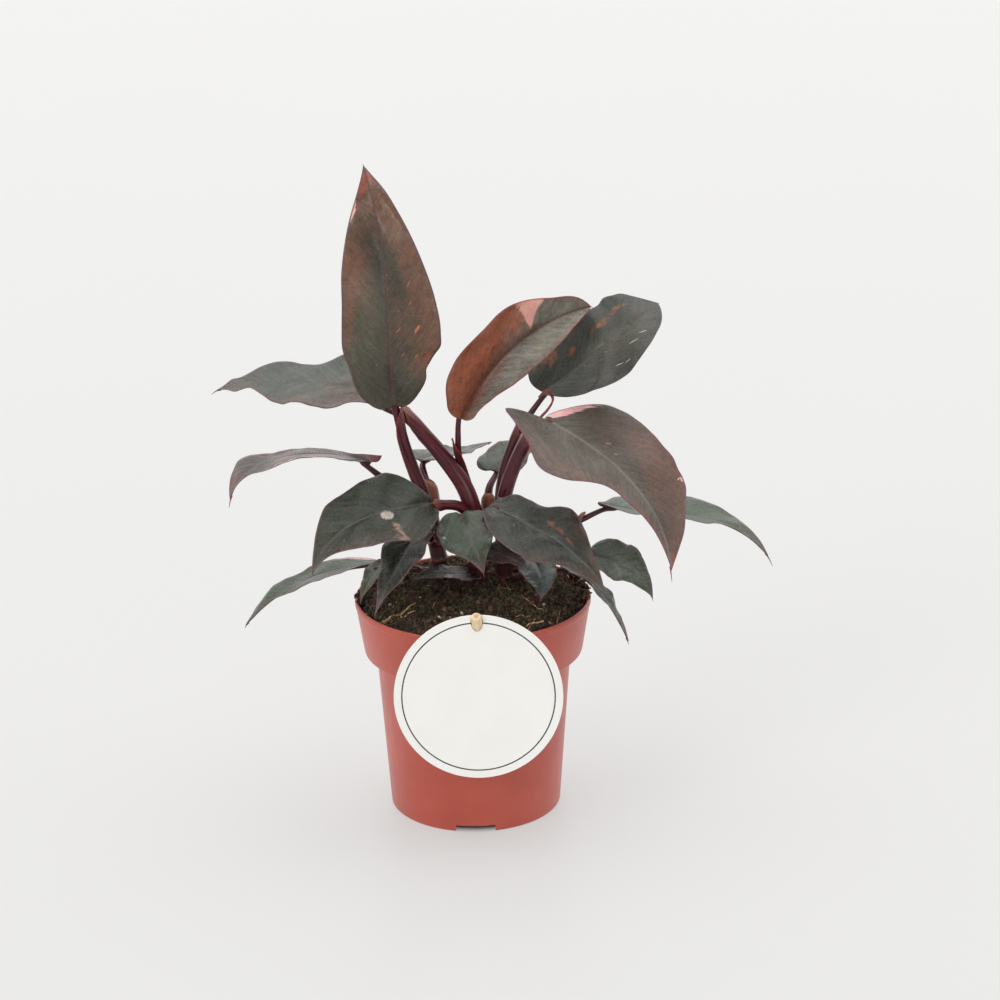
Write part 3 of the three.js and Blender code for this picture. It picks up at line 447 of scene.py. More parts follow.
def add_mesh(name, points, faces, materials, nodes=(), attributes=None, smooth=True):
    """A piece from points in millimetres. attributes are numbers or vectors for each point."""
    mesh = bpy.data.meshes.new(name)
    mesh.from_pydata((np.asarray(points, float) * MM).tolist(), [], faces)
    for material in materials:
        mesh.materials.append(material)
    mesh.polygons.foreach_set("use_smooth", [smooth] * len(mesh.polygons))
    for key, values in (attributes or {}).items():
        values = np.asarray(values, np.float32)
        if values.ndim == 1:
            mesh.attributes.new(key, "FLOAT", "POINT").data.foreach_set("value", values)
        else:
            mesh.attributes.new(key, "FLOAT_VECTOR", "POINT").data.foreach_set("vector", values.ravel())
    mesh.update()
    return add_piece(name, mesh, nodes)


def add_piece(name, mesh, nodes=()):
    piece = bpy.data.objects.new(name, mesh)
    bpy.context.scene.collection.objects.link(piece)
    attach(piece, BODY)
    if nodes:
        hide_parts(*nodes)
    return piece


def grid_faces(rows, columns, start=0, closed=False):
    """Quads of a grid of rows x columns points, closed round across the columns if asked."""
    faces = []
    for i in range(rows - 1):
        for j in range(columns if closed else columns - 1):
            a = start + i * columns + j
            b = start + i * columns + (j + 1) % columns
            faces.append((a, b, b + columns, a + columns))
    return faces


def border_faces(border, size):
    """Quads between a sheet's border and that of its other side, whose points come size later."""
    return [(b, a, size + a, size + b) for a, b in zip(border, border[1:] + border[:1])]


def sheet_faces(rows, columns):
    """Faces of a thin sheet: a grid for its outer side, one for its inner side, and its border."""
    outer = grid_faces(rows, columns)
    size = rows * columns
    border = list(range(columns)) + [i * columns + columns - 1 for i in range(1, rows)]
    border += [(rows - 1) * columns + j for j in range(columns - 2, -1, -1)]
    border += [i * columns for i in range(rows - 2, 0, -1)]
    return outer + [tuple(size + k for k in reversed(face)) for face in outer] + border_faces(border, size)


def turned_faces(rings, segments):
    """Faces of rings of points round the axis, between a first and a last point on it."""
    faces = grid_faces(rings, segments, 1, closed=True)
    last = 1 + (rings - 1) * segments
    for j in range(segments):
        k = (j + 1) % segments
        faces.append((0, 1 + k, 1 + j))
        faces.append((last + j, last + k, last + segments))
    return faces


def circle(radius, height, segments):
    angles = np.linspace(0, 2 * math.pi, segments, endpoint=False)
    return [(radius * math.cos(a), radius * math.sin(a), height) for a in angles]


class Parts:
    """Points, faces and attributes of several small shapes that become one piece."""

    def __init__(self):
        self.points = []
        self.faces = []
        self.attributes = {}
        self.count = 0

    def add(self, points, faces, **attributes):
        points = np.asarray(points, float)
        self.points.append(points)
        self.faces += [tuple(k + self.count for k in face) for face in faces]
        for key, value in attributes.items():
            value = np.asarray(value, float)
            full = value if value.ndim and len(value) == len(points) else np.broadcast_to(
                value, (len(points),) + value.shape)
            self.attributes.setdefault(key, []).append(full)
        self.count += len(points)

    def piece(self, name, materials, slot, nodes=(), smooth=True):
        attributes = {key: np.concatenate(values) for key, values in self.attributes.items()}
        return add_mesh(name, np.concatenate(self.points), self.faces, materials, nodes,
                        attributes, smooth=smooth)


# Curves

def smooth_path(points, step=1.0):
    """Points at even steps along the centripetal Catmull-Rom curve through points."""
    points = [np.asarray(p, float) for p in points]
    ends = [2 * points[0] - points[1]] + points + [2 * points[-1] - points[-2]]
    dense = []
    for k in range(len(points) - 1):
        a, b, c, d = ends[k:k + 4]
        t0, t1, t2 = (max(np.linalg.norm(q - p) ** 0.5, 1e-4) for p, q in ((a, b), (b, c), (c, d)))
        start = ((b - a) / t0 - (c - a) / (t0 + t1) + (c - b) / t1) * t1
        end = ((c - b) / t1 - (d - b) / (t1 + t2) + (d - c) / t2) * t1
        for u in np.linspace(0, 1, 24, endpoint=False):
            dense.append((2 * u ** 3 - 3 * u ** 2 + 1) * b + (u ** 3 - 2 * u ** 2 + u) * start
                         + (3 * u ** 2 - 2 * u ** 3) * c + (u ** 3 - u ** 2) * end)
    dense = np.array(dense + [points[-1]])
    return even_steps(dense, step)


def even_steps(points, step):
    lengths = np.concatenate([[0], np.cumsum(np.linalg.norm(np.diff(points, axis=0), axis=1))])
    count = max(4, int(round(lengths[-1] / step)))
    places = np.linspace(0, lengths[-1], count + 1)
    return np.stack([np.interp(places, lengths, points[:, k]) for k in range(3)], axis=1)


def frames_along(path, first):
    """Two cross directions that turn as little as they can. The first starts near first."""
    tangents = unit(np.gradient(path, axis=0))
    side = np.asarray(first, float)
    sides = []
    for tangent in tangents:
        side = unit(side - side.dot(tangent) * tangent)
        sides.append(side)
    sides = np.array(sides)
    return sides, np.cross(tangents, sides)


def spread(path, sides, ups, beside, above):
    """Points beside and above each point of a path, by distances in its two cross directions."""
    points = path[:, None] + sides[:, None] * beside[..., None] + ups[:, None] * above[..., None]
    return points.reshape(-1, 3)


def rod(path, radii, columns, first=(0, 0, 1), ridge=None):
    """Points and faces of a closed round rod. ridge gives a factor for each angle."""
    path = np.asarray(path, float)
    sides, ups = frames_along(path, first)
    angles = np.linspace(0, 2 * math.pi, columns, endpoint=False)
    radii = np.broadcast_to(radii, len(path))[:, None] * np.ones(columns)
    if ridge is not None:
        radii = radii * ridge
    points = spread(path, sides, ups, radii * np.cos(angles), radii * np.sin(angles))
    faces = grid_faces(len(path), columns, closed=True)
    last = (len(path) - 1) * columns
    faces.append(tuple(range(columns - 1, -1, -1)))
    faces.append(tuple(range(last, last + columns)))
    return points, faces


# Materials

class Shader:
    """A material made of nodes. Its methods return the output socket of the node they add."""

    def __init__(self, name, roughness=0.5, **settings):
        self.material = bpy.data.materials.new(name)
        self.material.use_nodes = True
        self.tree = self.material.node_tree
        self.surface = self.tree.nodes["Principled BSDF"]
        self.set(self.surface, "Roughness", roughness)
        for key, value in settings.items():
            self.set(self.surface, key.replace("_", " "), value)

    def set(self, node, key, value):
        """Set or link an input. A text is a hexadecimal display colour."""
        socket = node.inputs[key]
        if isinstance(value, bpy.types.NodeSocket):
            self.tree.links.new(value, socket)
        else:
            socket.default_value = linear(value) if isinstance(value, str) else value

    def add(self, kind, output=0, inputs=None, **settings):
        node = self.tree.nodes.new("ShaderNode" + kind)
        for key, value in settings.items():
            setattr(node, key, value)
        for key, value in (inputs or {}).items():
            self.set(node, key, value)
        return node.outputs[output]

    def attribute(self, name, output="Fac"):
        return self.add("Attribute", output, attribute_name=name)

    def math(self, operation, a, b=0.0, c=0.0):
        return self.add("Math", 0, {0: a, 1: b, 2: c}, operation=operation)

    def scaled(self, vector, factors):
        return self.add("VectorMath", 0, {0: vector, 1: factors}, operation="MULTIPLY")

    def place(self):
        """The place in the object, in millimetres."""
        return self.scaled(self.add("TexCoord", "Object"), (1 / MM,) * 3)

    def noise(self, vector, scale=1.0, detail=3.0, rough=0.5):
        inputs = {"Vector": vector, "Scale": scale, "Detail": detail, "Roughness": rough}
        return self.add("TexNoise", 0, inputs)

    def cells(self, vector, output):
        return self.add("TexVoronoi", output, {"Vector": vector, "Scale": 1.0})

    def ramp(self, value, low, high, start=0.0, end=1.0):
        """value mapped smoothly from low..high to start..end and held there."""
        return self.add("MapRange", 0, {0: value, 1: low, 2: high, 3: start, 4: end},
                        interpolation_type="SMOOTHSTEP")

    def stirred(self, value, *noises):
        """value with noises added that are centred on zero, each with its amount."""
        for noise_value, amount in noises:
            value = self.math("ADD", value, self.math("MULTIPLY_ADD", noise_value, amount, -amount / 2))
        return value

    def mix(self, factor, a, b, blend="MIX"):
        node = self.tree.nodes.new("ShaderNodeMix")
        node.data_type = "RGBA"
        node.blend_type = blend
        self.set(node, 0, factor)
        self.set(node, 6, a)
        self.set(node, 7, b)
        return node.outputs[2]

    def marked(self, colour, mask, strength, mark):
        """colour with a mark over it, as strong as strength where the mask is 1."""
        return self.mix(self.math("MULTIPLY", mask, strength), colour, mark)

    def bump(self, height, strength, distance, normal=None):
        inputs = {"Height": height, "Strength": strength, "Distance": distance * MM}
        if normal is not None:
            inputs["Normal"] = normal
        return self.add("Bump", 0, inputs)

    def finish(self, colour=None, normal=None, roughness=None):
        for key, value in (("Base Color", colour), ("Normal", normal), ("Roughness", roughness)):
            if value is not None:
                self.set(self.surface, key, value)
        return self.material


# Leaf blades

def lagrange(points, t):
    """Points at each t of the cubic through four points at even steps."""
    points = np.asarray(points, float)
    knots = [0, 1 / 3, 2 / 3, 1]
    total = 0
    for i, knot in enumerate(knots):
        weight = np.ones_like(t)
        for k, other in enumerate(knots):
            if k != i:
                weight = weight * (t - other) / (knot - other)
        total = total + weight[:, None] * points[i]
    return total


def blade_frames(leaf, t):
    step = 1e-4
    tangents = unit(lagrange(leaf["mid"], t + step) - lagrange(leaf["mid"], t - step))
    face = np.asarray(leaf["face"], float)
    places = np.minimum(t * (len(face) - 1), len(face) - 1 - 1e-9)
    k = places.astype(int)
    share = (places - k)[:, None]
    normals = face[k] * (1 - share) + face[k + 1] * share
    normals = unit(normals - (normals * tangents).sum(1)[:, None] * tangents)
    return tangents, normals, np.cross(tangents, normals)


def half_width(leaf, side, t):
    """Of one side of a blade at each t."""
    widths = leaf["widths"][side]
    last = len(widths) - 1
    blunt = leaf.get("blunt", (0, 0))[side]
    knots = np.array([2 * widths[0] - widths[1], *widths, 0, -widths[last] * (1 + 2 * blunt)], float)
    places = np.minimum(t ** (1 / WIDTH_CROWDING) * (last + 1), last + 1 - 1e-9)
    k = places.astype(int)
    u = places - k
    a, b, c, d = (knots[k + n] for n in range(4))
    smooth = b + u / 2 * (c - a + u * (2 * a - 5 * b + 4 * c - d + u * (3 * (b - c) + d - a)))
    return np.maximum(0, smooth)


# The grid of a blade and its crowding towards the base and the midrib
BLADE_ROWS = 96
BLADE_COLUMNS = 20
ROW_CROWDING = 1.15
COLUMN_CROWDING = 1.25
# Side veins: how far apart, how much they lean back and how much more towards the margin
VEIN_SPACING = 5.2
VEIN_SLOPE = 1.1
VEIN_BEND = 0.01
# Small ripples of the margin: how many along a blade, and the height of a single one
RIPPLES = (4.3, 7.1, 11.7)
RIPPLE_HEIGHT = 0.9
# Relief of the surface, and how thick a blade is at its margin, inside and under the midrib
SWELLS = 5
SWELL_HEIGHT = 0.3
PLEAT_DEPTH = 0.12
GROOVE_DEPTH = 0.35
MARGIN_THICK = 0.24
INNER_THICK = 0.3
KEEL_THICK = 1.1
# How far apart the textures of two leaves lie, and of the two halves of one
LEAF_APART = 50
HALF_APART = 200
# The needle at the tip: its usual length and its radii
DRIP = 1.2
NEEDLE_RADII = (0.45, 0.1)


def half_blade(leaf, side, t, across, centre, frames, nicks, rng):
    """Points of one half of a blade, and how far they lie from its midrib."""
    tangents, normals, rights = frames
    sign = (-1, 1)[side]
    widest = half_width(leaf, side, t)
    for place, on_side, size, length in nicks:
        if on_side == sign:
            widest = widest + size * np.exp(-((t - place) / length) ** 2)
    widest[-1] = 0
    widest = np.maximum(widest, 0)[:, None]
    width = widest * across
    angle = math.radians(leaf["fold"][side])
    base = (np.maximum(0, 1 - t / LOBE_REACH) ** 2)[:, None]
    sweep = leaf["lobe"][side] * base * (1 - (1 - across) ** 2)
    rise = leaf.get("rise", (0, 0))[side] * base * across ** 2
    phase = (2 * math.pi * (WAVES * t + WAVE_SHIFT * side))[:, None]
    fade = np.minimum(1, widest / max(leaf["widths"][side]) / WAVE_WIDTH)
    wave = leaf["wave"] * across ** 2 * np.sin(phase) * fade
    for count in RIPPLES:
        ripple = np.sin(2 * math.pi * count * t + rng.uniform(0, 2 * math.pi))[:, None]
        wave = wave + RIPPLE_HEIGHT / count * across ** 3 * ripple * fade
    points = (centre[:, None] + rights[:, None] * (sign * width * math.cos(angle))[..., None]
              + normals[:, None] * (width * math.sin(angle) + wave + rise)[..., None]
              - tangents[:, None] * sweep[..., None])
    return points, sign * width


def blade_surface(leaf, seed, nicks):
    """Upper and lower points of a blade on a grid, and the attributes of each point of the grid.
    nicks are small bulges and dents of the margin: t, side, size in mm and length."""
    t = (np.arange(BLADE_ROWS + 1) / BLADE_ROWS) ** ROW_CROWDING
    s = np.arange(-BLADE_COLUMNS, BLADE_COLUMNS + 1) / BLADE_COLUMNS
    s = np.sign(s) * np.abs(s) ** COLUMN_CROWDING
    centre = lagrange(leaf["mid"], t)
    frames = blade_frames(leaf, t)
    steps = np.linalg.norm(np.diff(centre, axis=0), axis=1)
    lengths = np.concatenate([[0], np.cumsum(steps)])[:, None]
    rng = np.random.default_rng(seed)
    upper = np.zeros((len(t), len(s), 3))
    width = np.zeros((len(t), len(s)))
    for side, here in enumerate((s < 0, s >= 0)):
        half = half_blade(leaf, side, t, np.abs(s[here]), centre, frames, nicks, rng)
        upper[:, here], width[:, here] = half
    reach = np.abs(width)
    rim = np.where(s < 0, reach[:, :1], reach[:, -1:]) - reach
    vein = lengths - VEIN_SLOPE * reach - VEIN_BEND * reach ** 2
    first, second = rng.uniform(0, 2 * math.pi, 2)
    vein = vein + 0.9 * np.sin(0.35 * vein + first) + 0.35 * np.sin(0.9 * vein + second)
    facing = unit(np.cross(np.gradient(upper, axis=1), np.gradient(upper, axis=0)))
    facing[-1] = frames[1][-1]
    # Swells and pleats between the side veins, and the groove and keel of the midrib
    fade = np.clip(reach / 3, 0, 1) * np.clip(rim / 3, 0, 1) * np.clip((1 - t) * 6, 0, 1)[:, None]
    relief = 0
    for _ in range(SWELLS):
        along, across, shift = rng.uniform(0.1, 0.3), rng.uniform(0.05, 0.22), rng.uniform(0, 6.28)
        relief = relief + SWELL_HEIGHT * np.sin(along * lengths + across * width + shift) * fade
    relief = relief - PLEAT_DEPTH * np.abs(np.cos(math.pi * vein / VEIN_SPACING)) ** 6 * fade
    slim = (1 - 0.75 * t)[:, None]
    groove = -GROOVE_DEPTH * slim * np.exp(-(reach / (1.1 * slim)) ** 2)
    keel = KEEL_THICK * slim * np.exp(-(reach / (1.2 * slim)) ** 2)
    thick = MARGIN_THICK + INNER_THICK * np.clip(rim / 2.5, 0, 1)
    upper = upper + facing * (relief + groove)[..., None]
    lower = upper - facing * (thick + keel)[..., None]
    apart = np.full_like(width, LEAF_APART * seed)
    attributes = {
        "plan": np.stack([width, np.broadcast_to(lengths, width.shape), apart], -1),
        "vein": np.stack([vein, reach + HALF_APART * (width < 0), apart], -1),
        "rim": rim,
    }
    return t, s, upper, lower, attributes


def spot(t, s, at):
    """A round spot's strength: 1 in its middle and 0 at its radii."""
    return 1 - np.sqrt(((t - at[0]) / at[2]) ** 2 + ((s - at[1]) / at[3]) ** 2)


def wedge(t, s, at):
    """A wedge's strength, from 1 along its middle to 0 at its sides."""
    share = (s * at[4] - at[3]) / (1 - at[3])
    middle = at[2] + (at[0] - at[2]) * np.clip(share, 0, 1)
    inside = 1 - np.abs(t - middle) / (at[1] * np.clip(share, 0.02, 1))
    return np.where(share > 0, inside, -2)


def glow(t, s, spots):
    """Soft spots added up."""
    total = np.zeros_like(t)
    for at in spots:
        total += at[4] * np.exp(-((t - at[0]) / at[2]) ** 2 - ((s - at[1]) / at[3]) ** 2)
    return total


def blade_marks(looks, t, s):
    """Where a leaf has pale patches, its second and third colour, painted sheen and painted shade, and
    flecks.
    """
    along, across = np.meshgrid(t, s, indexing="ij")
    patch = np.full(along.shape, -2.0)
    for at in looks.get("spots", []):
        patch = np.maximum(patch, spot(along, across, at))
    for at in looks.get("patches", []):
        patch = np.maximum(patch, wedge(along, across, at))
    return {
        "patch": patch,
        "blush": np.clip(glow(along, across, looks["blush"]), 0, 1),
        "tint": glow(along, across, looks.get("tints", [])),
        # shade: spots of painted sheen and painted shade, lighter and darker, that multiply the colour
        "shade": 1 + glow(along, across, looks.get("shade", [])),
        "marked": 0.2 + glow(along, across, looks.get("marked", [(0.5, 0, 3, 9, 0.6)])),
    }


def blade_faces(rows, columns, tip):
    """Faces of both sides of a blade and of its margin. The last row is one point, the tip."""
    size = tip + 1
    faces = []
    for i in range(rows - 1):
        for j in range(columns - 1):
            a = i * columns + j
            face = (a, a + 1, a + 1 + columns, a + columns) if i < rows - 2 else (a, a + 1, tip)
            faces += [face, tuple(size + k for k in reversed(face))]
    border = list(range(columns)) + [i * columns + columns - 1 for i in range(1, rows - 1)]
    border += [tip] + [i * columns for i in range(rows - 2, 0, -1)]
    return faces + border_faces(border, size)


def tip_needle(lower, columns, length):
    """A fine needle that ends the tip and hangs down a little."""
    base = lower[-1]
    ahead = unit(base - lower[-1 - columns // 2 - 2 * columns])
    end = base + ahead * length + np.array([0, 0, -0.5]) * length
    path = smooth_path([base - ahead * 2, base + ahead * 0.2, end], 0.4)
    return rod(path, np.linspace(*NEEDLE_RADII, len(path)), 6)


def add_blade(name, leaf, number):
    looks = LEAF_LOOKS[name]
    t, s, upper, lower, attributes = blade_surface(leaf, SEED + number, looks.get("nicks", ()))
    attributes.update(blade_marks(looks, t, s))
    rows, columns = upper.shape[:2]
    tip = (rows - 1) * columns
    upper, lower = (points.reshape(-1, 3)[:tip + 1] for points in (upper, lower))
    needle, needle_faces = tip_needle(lower, columns, looks.get("drip", DRIP))
    points = np.concatenate([upper, lower, needle])
    faces = blade_faces(rows, columns, tip)
    faces += [tuple(2 * (tip + 1) + k for k in face) for face in needle_faces]
    flat = {}
    for key, values in attributes.items():
        values = values.reshape(rows * columns, -1)[:tip + 1]
        values = np.concatenate([values, values, np.repeat(values[-1:], len(needle), axis=0)])
        flat[key] = values[:, 0] if values.shape[1] == 1 else values
    flat["under"] = np.repeat([0.0, 1.0, 0.0], [tip + 1, tip + 1, len(needle)])
    add_mesh(f"blade_{name}", points, faces, [leaf_material(name, looks)], [f"leaf_{name}"], flat)


def leaf_textures(shader):
    """The places and noises that a leaf's colours share. Streaks follow the side veins."""
    plan = shader.attribute("plan", "Vector")
    vein = shader.attribute("vein", "Vector")
    return SimpleNamespace(
        plan=plan, vein=vein,
        streak=shader.noise(shader.scaled(vein, (0.8, 0.07, 1)), detail=4, rough=0.6),
        fine=shader.noise(shader.scaled(vein, (2.4, 0.16, 1)), detail=4, rough=0.65),
        cloud=shader.noise(shader.scaled(plan, (0.09, 0.06, 1)), detail=4, rough=0.6),
        mottle=shader.noise(shader.scaled(plan, (0.3, 0.3, 1)), detail=4, rough=0.6),
    )


def leaf_ground(shader, looks, on):
    """Two clouded colours, lighter and darker along the veins, with spots of painted sheen and painted
    shade, and a third, streaked one.
    """
    blush = shader.stirred(shader.attribute("blush"), (on.streak, 0.5), (on.cloud, 0.9))
    colour = shader.mix(shader.ramp(blush, 0.05, 0.85), looks["main"], looks["second"])
    # Lighter and darker streaks along the veins, partly the leaf's own tone and partly painted shade
    shade = shader.math("MULTIPLY_ADD", on.fine, 0.9, shader.math("MULTIPLY", on.mottle, 0.4))
    shade = shader.ramp(shade, 0.42, 0.88, 0.55, 1.45)
    # Times the spots of painted sheen and painted shade
    shade = shader.math("MULTIPLY", shade, shader.attribute("shade"))
    shade = shader.add("CombineColor", 0, {0: shade, 1: shade, 2: shade})
    colour = shader.mix(1.0, colour, shade, "MULTIPLY")
    tint = shader.stirred(shader.attribute("tint"), (on.streak, 1.2), (on.mottle, 1.6), (on.fine, 1.2))
    return shader.marked(colour, shader.ramp(tint, 0.25, 1.05), 0.85, looks.get("tint", "6a4a3a"))


def leaf_veins(shader, looks, on, colour):
    """Side veins a little darker and a midrib in its own colour, and where these two are."""
    phase = shader.add("SeparateXYZ", "X", {0: on.vein})
    wave = shader.math("COSINE", shader.math("MULTIPLY", phase, 2 * math.pi / VEIN_SPACING))
    line = shader.ramp(wave, 0.9, 1, 0, 0.3)
    line = shader.math("MULTIPLY", line, shader.ramp(on.streak, 0.4, 0.65, 0.1, 1))
    colour = shader.mix(line, colour, shader.mix(1.0, colour, (0.4, 0.36, 0.36, 1), "MULTIPLY"))
    distance = shader.math("ABSOLUTE", shader.add("SeparateXYZ", "X", {0: on.plan}))
    rib = shader.ramp(distance, 0.3, 0.95, 0.75 if "rib" in looks else 0.4, 0)
    return shader.mix(rib, colour, looks.get("rib", "5c544a")), line, rib


def leaf_patches(shader, looks, on, colour):
    """Pale patches with edges that run out along the veins."""
    patch = shader.stirred(shader.attribute("patch"), (on.streak, 1.3), (on.fine, 0.5))
    pale = looks.get("patch", "e2a09c")
    pale = shader.mix(shader.ramp(on.cloud, 0.4, 0.6), pale, shader.mix(0.45, pale, "e4cfc0"))
    return shader.mix(shader.ramp(patch, 0.02, 0.25), colour, pale)


def leaf_flecks(shader, looks, on, colour):
    """Flecks drawn out along the veins, and small round specks."""
    cell = shader.scaled(on.vein, (0.36, 0.14, 1))
    size = shader.add("SeparateColor", 0, {0: shader.cells(cell, "Color")})
    size = shader.math("MULTIPLY", size, shader.math("MINIMUM", shader.attribute("marked"), 1.0))
    many = looks["flecks"]
    radius = shader.ramp(size, 1 - many * 0.7, 1.15 - many * 0.5, 0, 0.21)
    fleck = shader.math("LESS_THAN", shader.cells(cell, "Distance"), radius)
    colour = shader.marked(colour, fleck, 0.85, looks["fleck"])
    cell = shader.scaled(on.plan, (0.45, 0.45, 1))
    size = shader.add("SeparateColor", 1, {0: shader.cells(cell, "Color")})
    speck = shader.math("LESS_THAN", shader.cells(cell, "Distance"), shader.ramp(size, 0.75, 1, 0, 0.14))
    return shader.marked(colour, speck, 0.5, "b4a48c")


def leaf_material(name, looks):
    """Glossy, finely veined leaf with a thin coloured margin and a browner underside."""
    gloss = looks.get("gloss", 0.5)
    shader = Shader(f"leaf_{name}", Specular_IOR_Level=gloss, IOR=1.5, Coat_Weight=0.4 * gloss,
                    Coat_Roughness=0.22)
    on = leaf_textures(shader)
    colour, line, rib = leaf_veins(shader, looks, on, leaf_ground(shader, looks, on))
    colour = leaf_patches(shader, looks, on, colour)
    colour = leaf_flecks(shader, looks, on, colour)
    ragged = shader.math("MULTIPLY_ADD", on.cloud, 1.6, -0.5)
    edge = shader.ramp(shader.math("SUBTRACT", shader.attribute("rim"), ragged), 0.15, 0.9, 0.85, 0)
    colour = shader.mix(edge, colour, looks.get("edge", "644446"))
    below = shader.mix(shader.ramp(on.streak, 0.35, 0.7), "5a3c38", "665248")
    colour = shader.mix(shader.attribute("under"), colour, shader.mix(rib, below, "7a4a48"))
    height = shader.math("MULTIPLY_ADD", on.fine, 0.6, shader.math("MULTIPLY", on.streak, 0.8))
    height = shader.math("SUBTRACT", height, shader.math("MULTIPLY", line, 0.9))
    grain = shader.noise(on.plan, 0.9, detail=4, rough=0.6)
    normal = shader.bump(grain, 0.5, 0.18, shader.bump(height, 1.0, 0.42))
    return shader.finish(colour, normal, shader.ramp(on.mottle, 0.3, 0.7, 0.22, 0.36))


# Stems and stalks

def stem_point(stem, height):
    path = stem["path"]
    above = next(k for k, point in enumerate(path) if point[2] >= height)
    low, high = np.array(path[above - 1], float), np.array(path[above], float)
    return low + (high - low) * (height - low[2]) / (high[2] - low[2])


def stalk_path(leaf):
    stalk = leaf["stalk"]
    tangents, normals, _ = blade_frames(leaf, np.array([0.0]))
    base = np.array(leaf["mid"][0], float)
    arrival = unit(base - np.array(stalk["via"][-1], float))
    radius = stalk["radius"][2]
    tilt = math.sqrt(max(0, 1 - arrival.dot(normals[0]) ** 2))
    end = base + tangents[0] * radius / 2 - normals[0] * (BLADE_THICK + 2 * GAP + radius * tilt)
    inside = base + tangents[0] * 6 - normals[0] * (BLADE_THICK + 0.5)
    return smooth_path([stem_point(STEMS[stalk["from"]], stalk["height"]), *stalk["via"], end, inside])


PETIOLE_SIDES = 24
SHEATH_COLUMNS = 28
SHEATH_THICK = 0.45
STEM_SIDES = 32
STRAP_COLUMNS = 11
STRAP_THICK = 0.4


def ring_places(turns, u):
    """For each point of a grid round a stalk: its turn, its row and its share of the length."""
    turns = np.broadcast_to(turns, (len(u), np.shape(turns)[-1]))
    columns = turns.shape[1]
    rows = np.repeat(np.arange(len(u), dtype=float), columns)
    return np.stack([turns.reshape(-1), rows, np.repeat(u, columns)], -1)


def add_petiole(body, path, stalk, green, tongue):
    """The stalk itself, finely ribbed and with a channel on the side away from tongue."""
    foot, neck, end = stalk["radius"]
    u = np.linspace(0, 1, len(path))
    angles = np.linspace(0, 2 * math.pi, PETIOLE_SIDES, endpoint=False)
    channel = 1 - 0.28 * np.exp(-((angles - math.pi) / 0.5) ** 2)
    ribs = 1 + 0.03 * np.cos(6 * angles)
    radii = np.interp(u, [0, stalk["sheath"], 0.96, 1], [0.8 * foot, 0.85 * neck, end, 0.55 * end])
    within = 0.82 * np.interp(u, [0, stalk["sheath"], 1], [foot, neck, end])
    radii = np.minimum(radii, np.maximum(end, within))
    points, faces = rod(path, radii, PETIOLE_SIDES, tongue, channel * ribs)
    body.add(points, faces, tone=green, ring=ring_places(angles, u), dry=0.0, lip=0.0)


def add_sheath(body, path, stalk, green, tongue, hooded):
    """The sheath that wraps the lower part of a stalk and ends in a free tip or as a hood."""
    foot, neck, _ = stalk["radius"]
    count = max(6, int(stalk["sheath"] * len(path)))
    u = np.linspace(0, 1, count)
    half = np.interp(u, [0, 0.7, 0.88, 1], [2.95, 2.6, 1.5, 0.12])
    outer = np.interp(u, [0, 1], [foot, neck]) + np.interp(u, [0, 0.75, 1], [0, 0.1, 1.3])
    dry = np.interp(u, [0, 0.8, 1], [0, 0.1, 0.7])
    if hooded:
        half = np.full(count, 3.0)
        outer = neck * np.interp(u, [0, 0.35, 0.75, 0.88, 0.96, 1], [1, 1.75, 1.8, 1.5, 0.95, 0.45])
        dry = dry + 0.75
    sides, ups = frames_along(path[:count], tongue)
    across = np.linspace(-1, 1, SHEATH_COLUMNS)
    phi = half[:, None] * across
    shells = []
    for thick in (0.0, SHEATH_THICK):
        radius = (outer[:, None] - thick) * (1 + 0.1 * np.abs(across) ** 6) * (1 + 0.025 * np.cos(11 * phi))
        shells.append(spread(path[:count], sides, ups, radius * np.cos(phi), radius * np.sin(phi)))
    body.add(np.concatenate(shells), sheet_faces(count, SHEATH_COLUMNS), tone=green * 0.5,
             ring=np.tile(ring_places(phi, u), (2, 1)), dry=np.tile(np.repeat(dry, SHEATH_COLUMNS), 2),
             lip=np.tile(np.clip(np.abs(across) * 6 - 5, 0, 1), 2 * count))


def add_stalk(name, leaf):
    """A leaf stalk and its sheath."""
    green, tongue = STALK_LOOKS[name]
    path = stalk_path(leaf)
    body = Parts()
    add_petiole(body, path, leaf["stalk"], green, tongue)
    add_sheath(body, path, leaf["stalk"], green, tongue, name in HOODED)
    body.piece(f"petiole_{name}", [STALK], "stalk", [f"stalk_{name}"])


def stalk_material():
    """Burgundy, lengthwise ribbed and glossy, greener where the tone says so, browner where dry."""
    shader = Shader("stalk_skin", Specular_IOR_Level=0.4, IOR=1.46, Coat_Weight=0.1, Coat_Roughness=0.12)
    ring = shader.attribute("ring", "Vector")
    lines = shader.noise(shader.scaled(ring, (2.6, 0.03, 0)), detail=3, rough=0.6)
    mottle = shader.noise(shader.scaled(ring, (0.9, 0.12, 0)), detail=3)
    colour = shader.mix(shader.ramp(lines, 0.3, 0.7), "300b13", "5e1b25")
    colour = shader.mix(shader.ramp(mottle, 0.5, 0.75, 0, 0.4), colour, "783036")
    colour = shader.marked(colour, shader.attribute("tone"), 0.9, "38302a")
    brown = shader.mix(shader.ramp(mottle, 0.35, 0.65), "8a5a40", "7c3a34")
    colour = shader.mix(shader.ramp(shader.attribute("dry"), 0.1, 0.8, 0, 0.85), colour, brown)
    colour = shader.marked(colour, shader.attribute("lip"), 0.8, "a03a40")
    height = shader.math("ADD", lines, shader.math("MULTIPLY", mottle, 0.4))
    return shader.finish(colour, shader.bump(height, 0.6, 0.22), shader.ramp(lines, 0.3, 0.7, 0.26, 0.4))


STALK = stalk_material()


